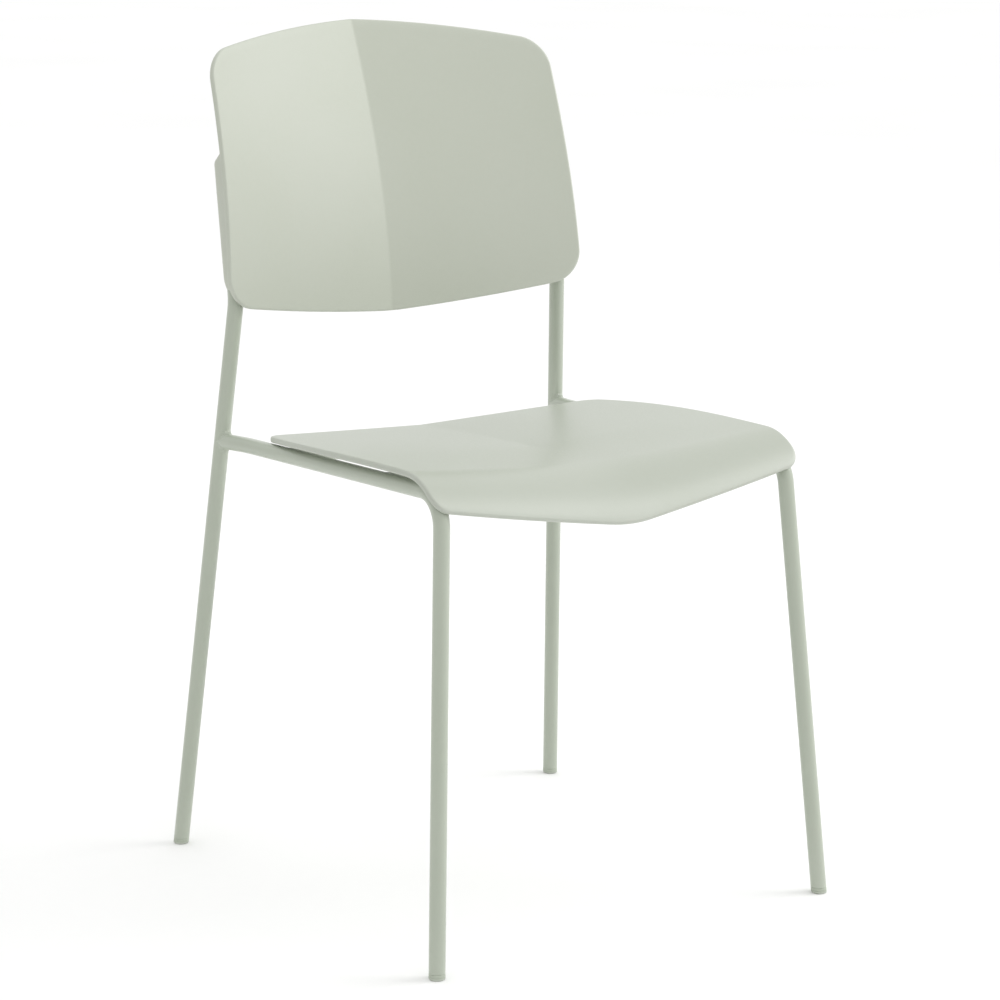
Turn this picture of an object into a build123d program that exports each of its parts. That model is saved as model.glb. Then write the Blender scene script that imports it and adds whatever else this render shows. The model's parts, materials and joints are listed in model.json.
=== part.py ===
from build123d import *
import math
import os

# Stacking chair: a welded frame of round steel tube that carries a moulded seat shell and a moulded
# back shell.  Millimetres, +Z up.  The sitter faces -Y and the chair is symmetric about the plane X = 0.
# It is laid out about the point on the floor midway between the four feet, and moved at the end so that
# the origin is on the floor at the middle of its bounding box.  Left and right are the sitter's.

# ---- driving sizes ----
TUBE_R = 8.0                # frame tube, 16 mm outside diameter
TUBE_WALL = 2.0
SHELL_THICKNESS = 6.0       # seat and back shells

REAR_FOOT_X = 238.5         # axis of a rear leg where it meets the floor, either side of the middle
FRONT_FOOT_INSET = 6.5      # the front feet stand this much closer together on each side
FRONT_FOOT_X = REAR_FOOT_X - FRONT_FOOT_INSET
FOOT_Y = 242.5              # front and rear feet are as far from the middle of the chair as each other
REAR_LEAN_IN = 0.068        # how far a rear leg leans in, for each unit of height
REAR_LEAN_FORWARD = 0.0922
FRONT_LEAN_IN = 0.0648
FRONT_LEAN_BACK = 0.0949

SEAT_HEIGHT = 448.5         # mid surface at the middle of the chair, on the crease
RAIL_GAP = 0.7              # air between the seat's underside and the rail, on the level of the crease
RAIL_HEIGHT = SEAT_HEIGHT - SHELL_THICKNESS / 2 - RAIL_GAP - TUBE_R     # rail's axis at the rear leg
RAIL_RISE = 0.041           # the rail climbs this much towards the front, for each unit of length
RAIL_JOG_BACK = 84.5        # the rail turns out to the rear leg this far ahead of the rear foot
RAIL_JOG_Y = FOOT_Y - RAIL_JOG_BACK
RAIL_JOG_R = 90.0
FRONT_BEND_R = 34.0         # bend between side rail and front leg

BACK_GAP = 105.6            # from the seat's crease up to the back's bottom edge
BACK_TALL = 299.3           # height of the back itself, on the crease
BACK_BOTTOM = SEAT_HEIGHT + BACK_GAP
BACK_HEIGHT = BACK_BOTTOM + BACK_TALL
BACK_MIDDLE_Z = BACK_BOTTOM + 145.9     # the height that the back's curves are measured from

UPRIGHT_BEND_Z = BACK_BOTTOM + 27.9     # the upright leans back from here, inside the back's sockets
UPRIGHT_BEND_R = 55.0
UPRIGHT_LEAN_IN = 0.05
UPRIGHT_LEAN_BACK = 0.25
UPRIGHT_LAP = 157.9         # length of upright behind the back, measured in height
UPRIGHT_TOP = BACK_BOTTOM + UPRIGHT_LAP

GLIDE_HEAD = 6.0            # height of the foot glide that shows below the tube
GLIDE_PLUG = 24.0           # length of its plug inside the tube
GLIDE_LAP = 3.0             # the plug starts this far down inside the head
GLIDE_RIM = 1.2
PLUG_CLEARANCE = 0.1

SHELL_OVERRUN = 12.0        # the shells are drawn this much larger before they are trimmed
LEVEL_STEPS = 12
ROLL_STEPS = 7
ROLL_TURN = 76.0            # degrees that the front roll is drawn through
COLUMN_STEPS = 9

# seat: mid surface of the shell
SEAT_OVERHANG = 16.2        # the seat's sides stand this far outside the rails' axes
SEAT_SLOPE = 0.045          # falls towards the rear
SEAT_SAG = 0.000135         # and bows a little
SEAT_TAPER = 0.037          # half width lost per unit of length towards the rear
SEAT_SIDE_BOW = 0.00064
SEAT_FRONT_FLARE = 0.0000020
SEAT_FLARE_REACH = 44.0     # the sides run straight from this far ahead of the roll's start
SEAT_DISH = 13.5            # the sides stand this much above the crease
SEAT_DISH_GROWTH = 0.0132   # and more towards the front
SEAT_DISH_CURVE = 0.152     # share of the dish that is curved, the rest is straight
SEAT_REAR = FOOT_Y - 90.6   # rear edge on the crease
SEAT_REAR_SWEEP = 20.9      # the rear edge sweeps forward to the corners
SEAT_REAR_BOW = 10.2
SEAT_REAR_CORNER = 15.0
SEAT_FRONT_CORNER = 15.0
ROLL_START = FOOT_Y - 95.5  # the front edge rolls down from here, ahead of the middle
ROLL_START_SWEEP = 10.1
ROLL_RADIUS = 88.5
ROLL_RADIUS_LOSS = 28.2     # the roll is tighter at the sides
FRONT_EDGE_DROP = 42.3      # front edge on the crease, below the seat's height
FRONT_EDGE_Z = SEAT_HEIGHT - FRONT_EDGE_DROP
FRONT_EDGE_RISE = 28.2
FRONT_EDGE_BOW = 6.2
FRONT_NOSE_R = 190.0
CREASE_FADE_FROM = 40.0     # ahead of the middle the crease softens
CREASE_SOFTNESS = 0.30

# back: mid surface of the shell
BACK_BEHIND_UPRIGHT = 17.66     # crease behind the uprights' axes, at the back's middle height
UPRIGHT_BEND_Y = FOOT_Y - REAR_LEAN_FORWARD * UPRIGHT_BEND_Z
BACK_SETBACK = UPRIGHT_BEND_Y + UPRIGHT_LEAN_BACK * (BACK_MIDDLE_Z - UPRIGHT_BEND_Z) + BACK_BEHIND_UPRIGHT
BACK_RECLINE = 0.288
BACK_RECLINE_CURVE = 0.00067
BACK_RECLINE_TWIST = 0.00000058
BACK_OVERHANG = 13.3        # the back's sides stand this far outside the uprights' axes
BACK_TAPER = 0.0438
BACK_SIDE_BOW = 0.000046
BACK_WING = 47.6            # the wings come forward this much at the sides
BACK_WING_GROWTH = 0.0602
BACK_WING_CURVE = 0.383
BACK_TOP_DROP = 7.4         # top edge, straight and curved parts of its fall to the corners
BACK_TOP_BOW = 18.6
BACK_BOTTOM_RISE = 12.5
BACK_BOTTOM_BOW = 12.0
BACK_TOP_CORNER = 26.5
BACK_BOTTOM_CORNER = 31.0
SOCKET_WALL = 2.0
SOCKET_CLEARANCE = 0.1
SOCKET_BOTTOM = UPRIGHT_BEND_Z + 12.0
SOCKET_TOP = UPRIGHT_TOP + 7.0
SOCKET_RUN_OUT = 8.0        # the bore is cut on past the socket's mouth
SOCKET_BLIND = 1.0          # air above the upright's end
BACK_SCREW_STEP = 28.0      # screws from the ends of the socket
BACK_SCREW_R = 2.5
BACK_SCREW_PLAY = 0.5
BACK_SCREW_LENGTH = 11.0
BACK_HEAD_R = 4.5
BACK_HEAD_HEIGHT = 2.6
RIVET_NUT_R = 3.5
RIVET_NUT_LENGTH = 9.0
NUT_SET_IN = 0.9            # its rim is flush with the round of the tube
SCREW_PAD_R = 5.0           # round pads behind a socket, for the screw heads
SCREW_PAD_HEIGHT = 0.8

# under the seat
CROSS_R = 7.0               # cross tubes, 14 mm outside diameter
CROSS_WALL = 1.5
CROSS_BEHIND_ROLL = 51.0
CROSS_AHEAD_OF_REAR = 67.9
FRONT_CROSS_Y = CROSS_BEHIND_ROLL - ROLL_START
REAR_CROSS_Y = SEAT_REAR - CROSS_AHEAD_OF_REAR
CROSS_CLEARANCE = 3.5       # under the seat's crease
CROSS_BEND_R = 120.0
TAB_INBOARD = 90.8          # seat screws, from the rails' axes
TAB_WIDTH = 28.0
TAB_CORNER = 4.0
TAB_THICKNESS = 3.0
TAB_REACH = CROSS_R + 13.0  # screw from the cross tube's axis
TAB_MARGIN = 12.0
BOSS_R = 9.0
BOSS_ROOT = 1.0             # the boss runs this far into the shell, past its mid surface
INSERT_R = 4.0
INSERT_LENGTH = 9.0
SCREW_R = 2.5
SCREW_HOLE_R = 3.3
SCREW_GRIP = 7.0            # thread inside the insert
HEAD_R = 5.0
HEAD_ROUND = 1.2
HEAD_HEIGHT = 3.0
WASHER_R = 7.0
WASHER_THICKNESS = 1.2
HEX_KEY = 3.0
HEX_DEPTH = 1.6
PAD_INBOARD = 140.8         # middle of a stacking pad, from the rails' axes
PAD_LENGTH = 26.0
PAD_WALL = 2.6
PAD_FOOT = 4.0
PAD_END_STEP = 1.0          # the pad's foot stops this short of its ends
PAD_SIDE_STEP = 2.0
WELD_SIZE = 2.4
NEST_CLEARANCE = 0.3        # the seat's front corners are relieved round the tube's bends
GROUND = 0.0
BELOW = -10.0               # legs are drawn to here and cut at the floor
FAR = 1200.0                # cutting blocks are this large
CUT_ROOM = 100.0            # cutting shapes reach this far above and below the seat
JOINT_REACH = 60.0          # straight stretch of a tube that is drawn for a weld
EDGE_PASSES = 20            # rounds of closing in on where two edges meet

SIDES = {"right": -1, "left": 1}


# ---- curves that several pieces share ----
def rear_leg_point(side, z):
    return Vector(side * (REAR_FOOT_X - REAR_LEAN_IN * z), FOOT_Y - REAR_LEAN_FORWARD * z, z)


def front_leg_point(side, z):
    return Vector(side * (FRONT_FOOT_X - FRONT_LEAN_IN * z), -FOOT_Y + FRONT_LEAN_BACK * z, z)


def upright_point(side, z):
    bend = rear_leg_point(side, UPRIGHT_BEND_Z)
    up = z - UPRIGHT_BEND_Z
    return bend + Vector(-side * UPRIGHT_LEAN_IN * up, UPRIGHT_LEAN_BACK * up, up)


def rail_z(y):
    start = rear_leg_point(1, RAIL_HEIGHT)
    return RAIL_HEIGHT + RAIL_RISE * (start.Y - y)


def rail_corner(side):
    """where the rail's line crosses the front leg's, seen from the side"""
    start = rear_leg_point(side, RAIL_HEIGHT)
    z = (RAIL_HEIGHT + RAIL_RISE * (start.Y + FOOT_Y)) / (1.0 + RAIL_RISE * FRONT_LEAN_BACK)
    return front_leg_point(side, z)


# widths that follow from where the legs are
RAIL_X = rail_corner(1).X
SEAT_HALF_WIDTH = RAIL_X + SEAT_OVERHANG
BACK_HALF_WIDTH = rear_leg_point(1, UPRIGHT_BEND_Z).X + BACK_OVERHANG
TAB_X = RAIL_X - TAB_INBOARD
PAD_X = RAIL_X - PAD_INBOARD


def crease_softness(y):
    """0 where the seat's crease is sharp, growing ahead of the middle of the chair"""
    ahead = min(max(-y - CREASE_FADE_FROM, 0.0) / (ROLL_START - CREASE_FADE_FROM), 1.0)
    return CREASE_SOFTNESS * ahead * ahead * (3.0 - 2.0 * ahead)


def across(x, y):
    """distance from the crease as a share of the seat's half width, softened near the front"""
    soft = crease_softness(y)
    return (math.hypot(x / SEAT_HALF_WIDTH, soft) - soft) / (math.hypot(1.0, soft) - soft)


def seat_level(x, y):
    """height of the seat's mid surface, with the front roll left out"""
    share = across(x, y)
    rise = SEAT_DISH - SEAT_DISH_GROWTH * y
    profile = (1.0 - SEAT_DISH_CURVE) * share + SEAT_DISH_CURVE * share * share
    return SEAT_HEIGHT - SEAT_SLOPE * y - SEAT_SAG * y * y + rise * profile


def seat_roll(x):
    """where the front roll starts and its radius, at x"""
    share = min(abs(x) / SEAT_HALF_WIDTH, 1.05)
    return -ROLL_START - ROLL_START_SWEEP * share, ROLL_RADIUS - ROLL_RADIUS_LOSS * share


def seat_half_width(y):
    return SEAT_HALF_WIDTH - SEAT_TAPER * y - SEAT_SIDE_BOW * y * y - SEAT_FRONT_FLARE * y ** 3


def seat_rear_y(x):
    share = abs(x) / SEAT_HALF_WIDTH
    return SEAT_REAR - SEAT_REAR_SWEEP * share - SEAT_REAR_BOW * share * share


def seat_front_z(x):
    share = abs(x) / SEAT_HALF_WIDTH
    return FRONT_EDGE_Z + FRONT_EDGE_RISE * share + FRONT_EDGE_BOW * share * share


def back_y(x, z):
    """the back's mid surface, behind the middle of the chair"""
    up = z - BACK_MIDDLE_Z
    share = abs(x) / BACK_HALF_WIDTH
    crease = BACK_SETBACK + BACK_RECLINE * up + BACK_RECLINE_CURVE * up ** 2 - BACK_RECLINE_TWIST * up ** 3
    wing = BACK_WING + BACK_WING_GROWTH * up
    return crease - wing * ((1.0 - BACK_WING_CURVE) * share + BACK_WING_CURVE * share * share)


def back_half_width(z):
    up = z - BACK_MIDDLE_Z
    return BACK_HALF_WIDTH - BACK_TAPER * up + BACK_SIDE_BOW * up * up


def back_top_z(x):
    share = abs(x) / BACK_HALF_WIDTH
    return BACK_HEIGHT - BACK_TOP_DROP * share - BACK_TOP_BOW * share * share


def back_bottom_z(x):
    share = abs(x) / BACK_HALF_WIDTH
    return BACK_BOTTOM + BACK_BOTTOM_RISE * share + BACK_BOTTOM_BOW * share * share


# ---- helpers ----
def rod(start, end, radius):
    """solid cylinder between two points"""
    start = Vector(start)
    run = Vector(end) - start
    plane = Plane(origin=start, z_dir=run)
    return plane * Cylinder(radius, run.length, align=(Align.CENTER, Align.CENTER, Align.MIN))


def bent_rod(points, radii, radius):
    """solid round bar along straight runs joined by tangent arcs"""
    path = FilletPolyline(*points, radius=radii) if len(points) > 2 else Line(*points)
    section = Plane(origin=path @ 0, z_dir=path % 0) * Circle(radius)
    return sweep(section, path=path)


def bent_tube(points, radii, radius, wall):
    """round tube along the same kind of path"""
    return bent_rod(points, radii, radius) - bent_rod(points, radii, radius - wall)


def mirrored(part):
    return mirror(part, about=Plane.YZ)


def hex_socket(plane, depth):
    return plane * extrude(RegularPolygon(HEX_KEY / 2, 6, major_radius=False), depth)


def half_space(z_top):
    """everything below a height, big enough for the whole chair"""
    return Pos(0, 0, z_top) * Box(FAR, FAR, FAR, align=(Align.CENTER, Align.CENTER, Align.MAX))


# ---- frame ----
def rear_leg(side):
    """one tube from the floor to the inside of the back's socket"""
    bend, top = rear_leg_point(side, UPRIGHT_BEND_Z), upright_point(side, UPRIGHT_TOP)
    points = [rear_leg_point(side, BELOW), bend, top]
    tube = bent_tube(points, UPRIGHT_BEND_R, TUBE_R, TUBE_WALL)
    tube -= half_space(GLIDE_HEAD)
    for nut in rivet_nut_places(side):
        tube -= nut * Cylinder(RIVET_NUT_R, TUBE_R, align=(Align.CENTER, Align.CENTER, Align.CENTER))
    return tube


def rail_route(side):
    """side rail and front leg in one bent tube, from the rear leg's axis to below the floor"""
    start = rear_leg_point(side, RAIL_HEIGHT)
    corner = rail_corner(side)
    jog = Vector(side * RAIL_X, RAIL_JOG_Y, rail_z(RAIL_JOG_Y))
    return [start, jog, corner, front_leg_point(side, BELOW)]


def front_leg(side, other):
    """coped on to the rear leg"""
    tube = bent_tube(rail_route(side), [RAIL_JOG_R, FRONT_BEND_R], TUBE_R, TUBE_WALL)
    return tube - half_space(GLIDE_HEAD) - other


def leg_bar(side, extra=0.0):
    """the rear leg near the weld as a solid bar"""
    low, high = RAIL_HEIGHT - JOINT_REACH, RAIL_HEIGHT + JOINT_REACH
    return rod(rear_leg_point(side, low), rear_leg_point(side, high), TUBE_R + extra)


def rail_weld(side):
    start, jog = rail_route(side)[:2]
    run = (jog - start).normalized()
    end = start + run * JOINT_REACH
    bead = rod(start, end, TUBE_R + WELD_SIZE) & leg_bar(side, WELD_SIZE)
    return bead - rod(start, end, TUBE_R) - leg_bar(side)


def cross_height(y):
    """the cross tube's axis at its lowest, under the seat's crease"""
    return seat_level(0.0, y) - SHELL_THICKNESS / 2 - CROSS_CLEARANCE - CROSS_R


def cross_route(y):
    """from rail to rail, bent to follow the seat"""
    low = cross_height(y)
    high = rail_z(y)
    return [Vector(RAIL_X, y, high), Vector(0, y, low), Vector(-RAIL_X, y, high)]


def cross_tube(y, rails):
    tube = bent_tube(cross_route(y), CROSS_BEND_R, CROSS_R, CROSS_WALL)
    return tube - rails


def cross_weld(y, side):
    route = cross_route(y)
    start = route[0] if side > 0 else route[2]
    end = start + (route[1] - start).normalized() * JOINT_REACH / 2
    ahead, behind = y - JOINT_REACH / 2, y + JOINT_REACH / 2
    rail_ends = (side * RAIL_X, ahead, rail_z(ahead)), (side * RAIL_X, behind, rail_z(behind))
    bead = rod(start, end, CROSS_R + WELD_SIZE) & rod(*rail_ends, TUBE_R + WELD_SIZE)
    return bead - rod(*rail_ends, TUBE_R) - rod(start, end, CROSS_R)


# ---- seat fixings ----
def tab_places():
    """name, side and place of the four seat screws: middle of the tab's top face"""
    places = {}
    for row, y, reach in (("front", FRONT_CROSS_Y, TAB_REACH), ("rear", REAR_CROSS_Y, -TAB_REACH)):
        for name, side in SIDES.items():
            low, high = cross_height(y), rail_z(y)
            axis_z = low + (high - low) * TAB_X / RAIL_X
            top = axis_z + TAB_THICKNESS / 2
            places[f"{row}_{name}"] = (Vector(side * TAB_X, y + reach, top), y, side)
    return places


def seat_tab(place, y):
    """flat tab welded to the side of the cross tube, with the screw's hole"""
    reach = place.Y - y
    inner = y + math.copysign(CROSS_R - CROSS_WALL, reach)
    outer = place.Y + math.copysign(TAB_MARGIN, reach)
    length = abs(outer - inner)
    top = Pos(place.X, (inner + outer) / 2, place.Z)
    plate = top * Box(TAB_WIDTH, length, TAB_THICKNESS, align=(Align.CENTER, Align.CENTER, Align.MAX))
    plate = fillet(plate.edges().filter_by(Axis.Z), TAB_CORNER)
    hole = Pos(place) * Cylinder(SCREW_HOLE_R, 2 * TAB_WIDTH)
    return plate - hole


def seat_boss(place):
    """moulded boss from the tab up into the shell"""
    top = seat_level(place.X, place.Y) + BOSS_ROOT
    return Pos(place) * Cylinder(BOSS_R, top - place.Z, align=(Align.CENTER, Align.CENTER, Align.MIN))


def seat_insert(place):
    body = Pos(place) * Cylinder(INSERT_R, INSERT_LENGTH, align=(Align.CENTER, Align.CENTER, Align.MIN))
    return body - Pos(place) * Cylinder(SCREW_R, 4 * INSERT_LENGTH)


def seat_washer(place):
    under = Pos(place - Vector(0, 0, TAB_THICKNESS))
    ring = under * Cylinder(WASHER_R, WASHER_THICKNESS, align=(Align.CENTER, Align.CENTER, Align.MAX))
    return ring - Pos(place) * Cylinder(SCREW_HOLE_R, 2 * TAB_WIDTH)


def seat_screw(place):
    seat = place - Vector(0, 0, TAB_THICKNESS + WASHER_THICKNESS)
    head = Pos(seat) * Cylinder(HEAD_R, HEAD_HEIGHT, align=(Align.CENTER, Align.CENTER, Align.MAX))
    head = fillet(head.edges().group_by(Axis.Z)[0], HEAD_ROUND)
    shank_length = TAB_THICKNESS + WASHER_THICKNESS + SCREW_GRIP
    shank = Pos(seat) * Cylinder(SCREW_R, shank_length, align=(Align.CENTER, Align.CENTER, Align.MIN))
    key = hex_socket(Plane(origin=seat - Vector(0, 0, HEAD_HEIGHT), z_dir=(0, 0, 1)), HEX_DEPTH)
    return head + shank - key


# ---- seat shell ----
def ribbon(first, second):
    """closed section between two rows of points"""
    edges = [Spline(*first), Line(first[-1], second[-1]), Spline(*reversed(second)), Line(second[0], first[0])]
    return Face(Wire(edges))


def both_faces(middle):
    """the rows on either side of a mid surface row, half the thickness away"""
    rows = ([], [])
    for i, point in enumerate(middle):
        run = (middle[min(i + 1, len(middle) - 1)] - middle[max(i - 1, 0)]).normalized()
        off = Vector(0, -run.Z, run.Y) * (SHELL_THICKNESS / 2)
        rows[0].append(point + off)
        rows[1].append(point - off)
    return rows


def shell_from(rows):
    """both halves of a shell from the rows of its left half's mid surface"""
    half = loft([ribbon(*both_faces(row)) for row in rows])
    half = half & Box(FAR, FAR, 2 * FAR, align=(Align.MIN, Align.CENTER, Align.CENTER))
    return half + mirrored(half)


def half_level(x, y):
    """the level of the left half, carried straight on past the crease"""
    if x >= 0:
        return seat_level(x, y)
    return 2 * seat_level(0.0, y) - seat_level(-x, y)


def seat_row(x):
    """the mid surface from behind the rear edge to the end of the front roll"""
    start, radius = seat_roll(x)
    rear = SEAT_REAR + SHELL_OVERRUN
    row = []
    for i in range(LEVEL_STEPS):
        y = rear + (start - rear) * i / LEVEL_STEPS
        row.append(Vector(x, y, half_level(x, y)))
    level = half_level(x, start)
    slope = math.atan(half_level(x, start + 1.0) - level)
    for i in range(ROLL_STEPS + 1):
        turn = slope + math.radians(ROLL_TURN) * i / ROLL_STEPS
        along = radius * (math.sin(turn) - math.sin(slope))
        down = radius * (math.cos(slope) - math.cos(turn))
        row.append(Vector(x, start - along, level - down))
    return row


def columns(half_width):
    """where the rows stand, from just past the crease to beyond the side edge"""
    first, last = -SHELL_OVERRUN / 2, half_width + SHELL_OVERRUN
    return [first + (last - first) * i / COLUMN_STEPS for i in range(COLUMN_STEPS + 1)]


def curve_through(point_at, start, end, count=5):
    """smooth curve through a few points of a formula"""
    return Spline(*[point_at(start + (end - start) * i / (count - 1)) for i in range(count)])


def seat_plan():
    """outline seen from above, open ahead of the front edge"""
    corner_y = SEAT_REAR - SEAT_REAR_SWEEP - SEAT_REAR_BOW
    for _ in range(EDGE_PASSES):
        corner_y = seat_rear_y(seat_half_width(corner_y))
    corner_x = seat_half_width(corner_y)
    front_y = -FOOT_Y - ROLL_RADIUS
    side_end = -ROLL_START - SEAT_FLARE_REACH
    with BuildSketch() as plan:
        with BuildLine():
            curve_through(lambda x: (x, seat_rear_y(x)), 0.0, corner_x)
            side = curve_through(lambda y: (seat_half_width(y), y), corner_y, side_end)
            Polyline(side @ 1, ((side @ 1).X, front_y), (0, front_y), (0, SEAT_REAR))
        make_face()
        corner = plan.vertices().sort_by_distance((corner_x, corner_y))[0]
        fillet(corner, SEAT_REAR_CORNER)
        mirror(about=Plane.YZ)
    return plan.sketch


def seat_front_cutter():
    """what is taken off below the front edge, and outside its corners"""
    side_x = seat_half_width(-ROLL_START - ROLL_RADIUS / 2)
    side_z = seat_front_z(side_x)
    high = SEAT_HEIGHT + CUT_ROOM
    with BuildSketch() as keep:
        with BuildLine():
            curve_through(lambda x: (x, seat_front_z(x)), 0.0, side_x)
            Polyline((side_x, side_z), (side_x, high), (0, high), (0, FRONT_EDGE_Z))
        make_face()
        mirror(about=Plane.YZ)
        for side in (-1, 1):
            fillet(keep.vertices().sort_by_distance((side * side_x, side_z))[0], SEAT_FRONT_CORNER)
        fillet(keep.vertices().sort_by_distance((0, FRONT_EDGE_Z))[0], FRONT_NOSE_R)
    back = -ROLL_START - ROLL_START_SWEEP
    standing = Plane(origin=(0, back, 0), x_dir=(1, 0, 0), z_dir=(0, -1, 0))
    kept = extrude(standing * keep.sketch, FAR)
    low = FRONT_EDGE_Z - CUT_ROOM
    height = SEAT_HEIGHT + CUT_ROOM / 2 - low
    block = Pos(0, back, low) * Box(FAR, FAR / 2, height, align=(Align.CENTER, Align.MAX, Align.MIN))
    return block - kept


def seat_shell():
    shell = shell_from([seat_row(x) for x in columns(SEAT_HALF_WIDTH)])
    shell = shell & extrude(Pos(0, 0, SEAT_HEIGHT - CUT_ROOM) * seat_plan(), 2 * CUT_ROOM)
    shell -= seat_front_cutter()
    for place, _, _ in tab_places().values():
        shell += seat_boss(place)
    for place, _, _ in tab_places().values():
        shell -= Pos(place) * Cylinder(INSERT_R, INSERT_LENGTH, align=(Align.CENTER, Align.CENTER, Align.MIN))
    for side in SIDES.values():
        shell -= bent_rod(rail_route(side), [RAIL_JOG_R, FRONT_BEND_R], TUBE_R + NEST_CLEARANCE)
    return shell


# ---- back shell ----
def back_row(x):
    """the mid surface from below the bottom edge to above the top edge"""
    low, high = BACK_BOTTOM - SHELL_OVERRUN, BACK_HEIGHT + SHELL_OVERRUN
    flip = 1.0 if x >= 0 else -1.0
    row = []
    for i in range(LEVEL_STEPS + 1):
        z = low + (high - low) * i / LEVEL_STEPS
        crease = back_y(0, z)
        row.append(Vector(x, crease + flip * (back_y(x, z) - crease), z))
    return row


def back_outline():
    """outline seen from the front"""
    top_z = BACK_HEIGHT
    bottom_z = BACK_BOTTOM
    for _ in range(EDGE_PASSES):
        top_z = back_top_z(back_half_width(top_z))
        bottom_z = back_bottom_z(back_half_width(bottom_z))
    with BuildSketch() as outline:
        with BuildLine():
            curve_through(lambda x: (x, back_top_z(x)), 0.0, back_half_width(top_z))
            curve_through(lambda z: (back_half_width(z), z), top_z, bottom_z)
            curve_through(lambda x: (x, back_bottom_z(x)), back_half_width(bottom_z), 0.0)
            Line((0, BACK_BOTTOM), (0, BACK_HEIGHT))
        make_face()
        fillet(outline.vertices().sort_by_distance((BACK_HALF_WIDTH, top_z))[0], BACK_TOP_CORNER)
        fillet(outline.vertices().sort_by_distance((BACK_HALF_WIDTH, bottom_z))[0], BACK_BOTTOM_CORNER)
        mirror(about=Plane.YZ)
    return outline.sketch


def socket_axis(side):
    return (upright_point(side, SOCKET_BOTTOM + 1.0) - upright_point(side, SOCKET_BOTTOM)).normalized()


def socket_plane(side, z):
    """across the socket at a height: its y points to the rear"""
    axis = socket_axis(side)
    return Plane(origin=upright_point(side, z), x_dir=Vector(0, 1, 0).cross(axis), z_dir=axis)


def socket_outside(side):
    """sleeve, the pads behind it for the screw heads and the web that joins it to the shell"""
    base = socket_plane(side, SOCKET_BOTTOM)
    length = (SOCKET_TOP - SOCKET_BOTTOM) / socket_axis(side).Z
    radius = TUBE_R + SOCKET_CLEARANCE + SOCKET_WALL
    sleeve = Cylinder(radius, length, align=(Align.CENTER, Align.CENTER, Align.MIN))
    web = Box(2 * radius, BACK_WING, length, align=(Align.CENTER, Align.MAX, Align.MIN))
    outside = base * (sleeve + web)
    pad = Cylinder(SCREW_PAD_R, radius + SCREW_PAD_HEIGHT, align=(Align.CENTER, Align.CENTER, Align.MIN))
    for place in back_screw_places(side):
        outside += place * pad
    return outside


def socket_bore(side):
    bottom = upright_point(side, SOCKET_BOTTOM - SOCKET_RUN_OUT)
    return rod(bottom, upright_point(side, UPRIGHT_TOP + SOCKET_BLIND), TUBE_R + SOCKET_CLEARANCE)


def back_screw_places(side):
    """planes on the tube's axis whose z points to the rear, one for each screw"""
    places = []
    for z in (SOCKET_BOTTOM + BACK_SCREW_STEP, SOCKET_TOP - BACK_SCREW_STEP):
        across_socket = socket_plane(side, z)
        places.append(Plane(origin=across_socket.origin, x_dir=across_socket.x_dir, z_dir=across_socket.y_dir))
    return places


def rivet_nut_places(side):
    """planes just under the tube's rear wall"""
    return [place.offset(TUBE_R - NUT_SET_IN) for place in back_screw_places(side)]


def pad_face(place):
    """where a back screw's head seats"""
    return place.offset(TUBE_R + SOCKET_CLEARANCE + SOCKET_WALL + SCREW_PAD_HEIGHT)


def back_shell():
    rows = [back_row(x) for x in columns(BACK_HALF_WIDTH)]
    ahead = Vector(0, -2 * BACK_WING, 0)
    half_front = loft([ribbon([point + ahead for point in row], row) for row in rows])
    front_space = half_front + mirrored(half_front)
    shell = shell_from(rows)
    standing = Plane(origin=(0, 0, 0), x_dir=(1, 0, 0), z_dir=(0, -1, 0))
    prism = extrude(standing * back_outline(), -FAR)
    shell = shell & prism
    for side in SIDES.values():
        shell += socket_outside(side) - front_space
    hole = Cylinder(BACK_SCREW_R + BACK_SCREW_PLAY, 3 * TUBE_R, align=(Align.CENTER, Align.CENTER, Align.MIN))
    for side in SIDES.values():
        shell -= socket_bore(side)
        for place in back_screw_places(side):
            shell -= place * hole
    return shell


def back_screw(place):
    seat = pad_face(place)
    head = seat * Cylinder(BACK_HEAD_R, BACK_HEAD_HEIGHT, align=(Align.CENTER, Align.CENTER, Align.MIN))
    shank = seat * Cylinder(BACK_SCREW_R, BACK_SCREW_LENGTH, align=(Align.CENTER, Align.CENTER, Align.MAX))
    key = hex_socket(seat.offset(BACK_HEAD_HEIGHT), -HEX_DEPTH)
    return head + shank - key


def rivet_nut(place):
    body = place * Cylinder(RIVET_NUT_R, RIVET_NUT_LENGTH, align=(Align.CENTER, Align.CENTER, Align.MAX))
    return body - place * Cylinder(BACK_SCREW_R, 4 * RIVET_NUT_LENGTH)


# ---- feet and pads ----
def foot_glide(point_at, side):
    """plastic glide: a head that carries the tube's line down to a level face, and a plug in the tube"""
    low, high = point_at(side, BELOW), point_at(side, GLIDE_HEAD + GLIDE_PLUG)
    head = rod(low, high, TUBE_R) - half_space(GROUND)
    head -= Pos(0, 0, GLIDE_HEAD) * Box(FAR, FAR, FAR, align=(Align.CENTER, Align.CENTER, Align.MIN))
    head = chamfer(head.edges().group_by(Axis.Z)[0], GLIDE_RIM)
    plug_radius = TUBE_R - TUBE_WALL - PLUG_CLEARANCE
    plug = rod(point_at(side, GLIDE_HEAD - GLIDE_LAP), point_at(side, GLIDE_HEAD + GLIDE_PLUG), plug_radius)
    return head + plug


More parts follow.
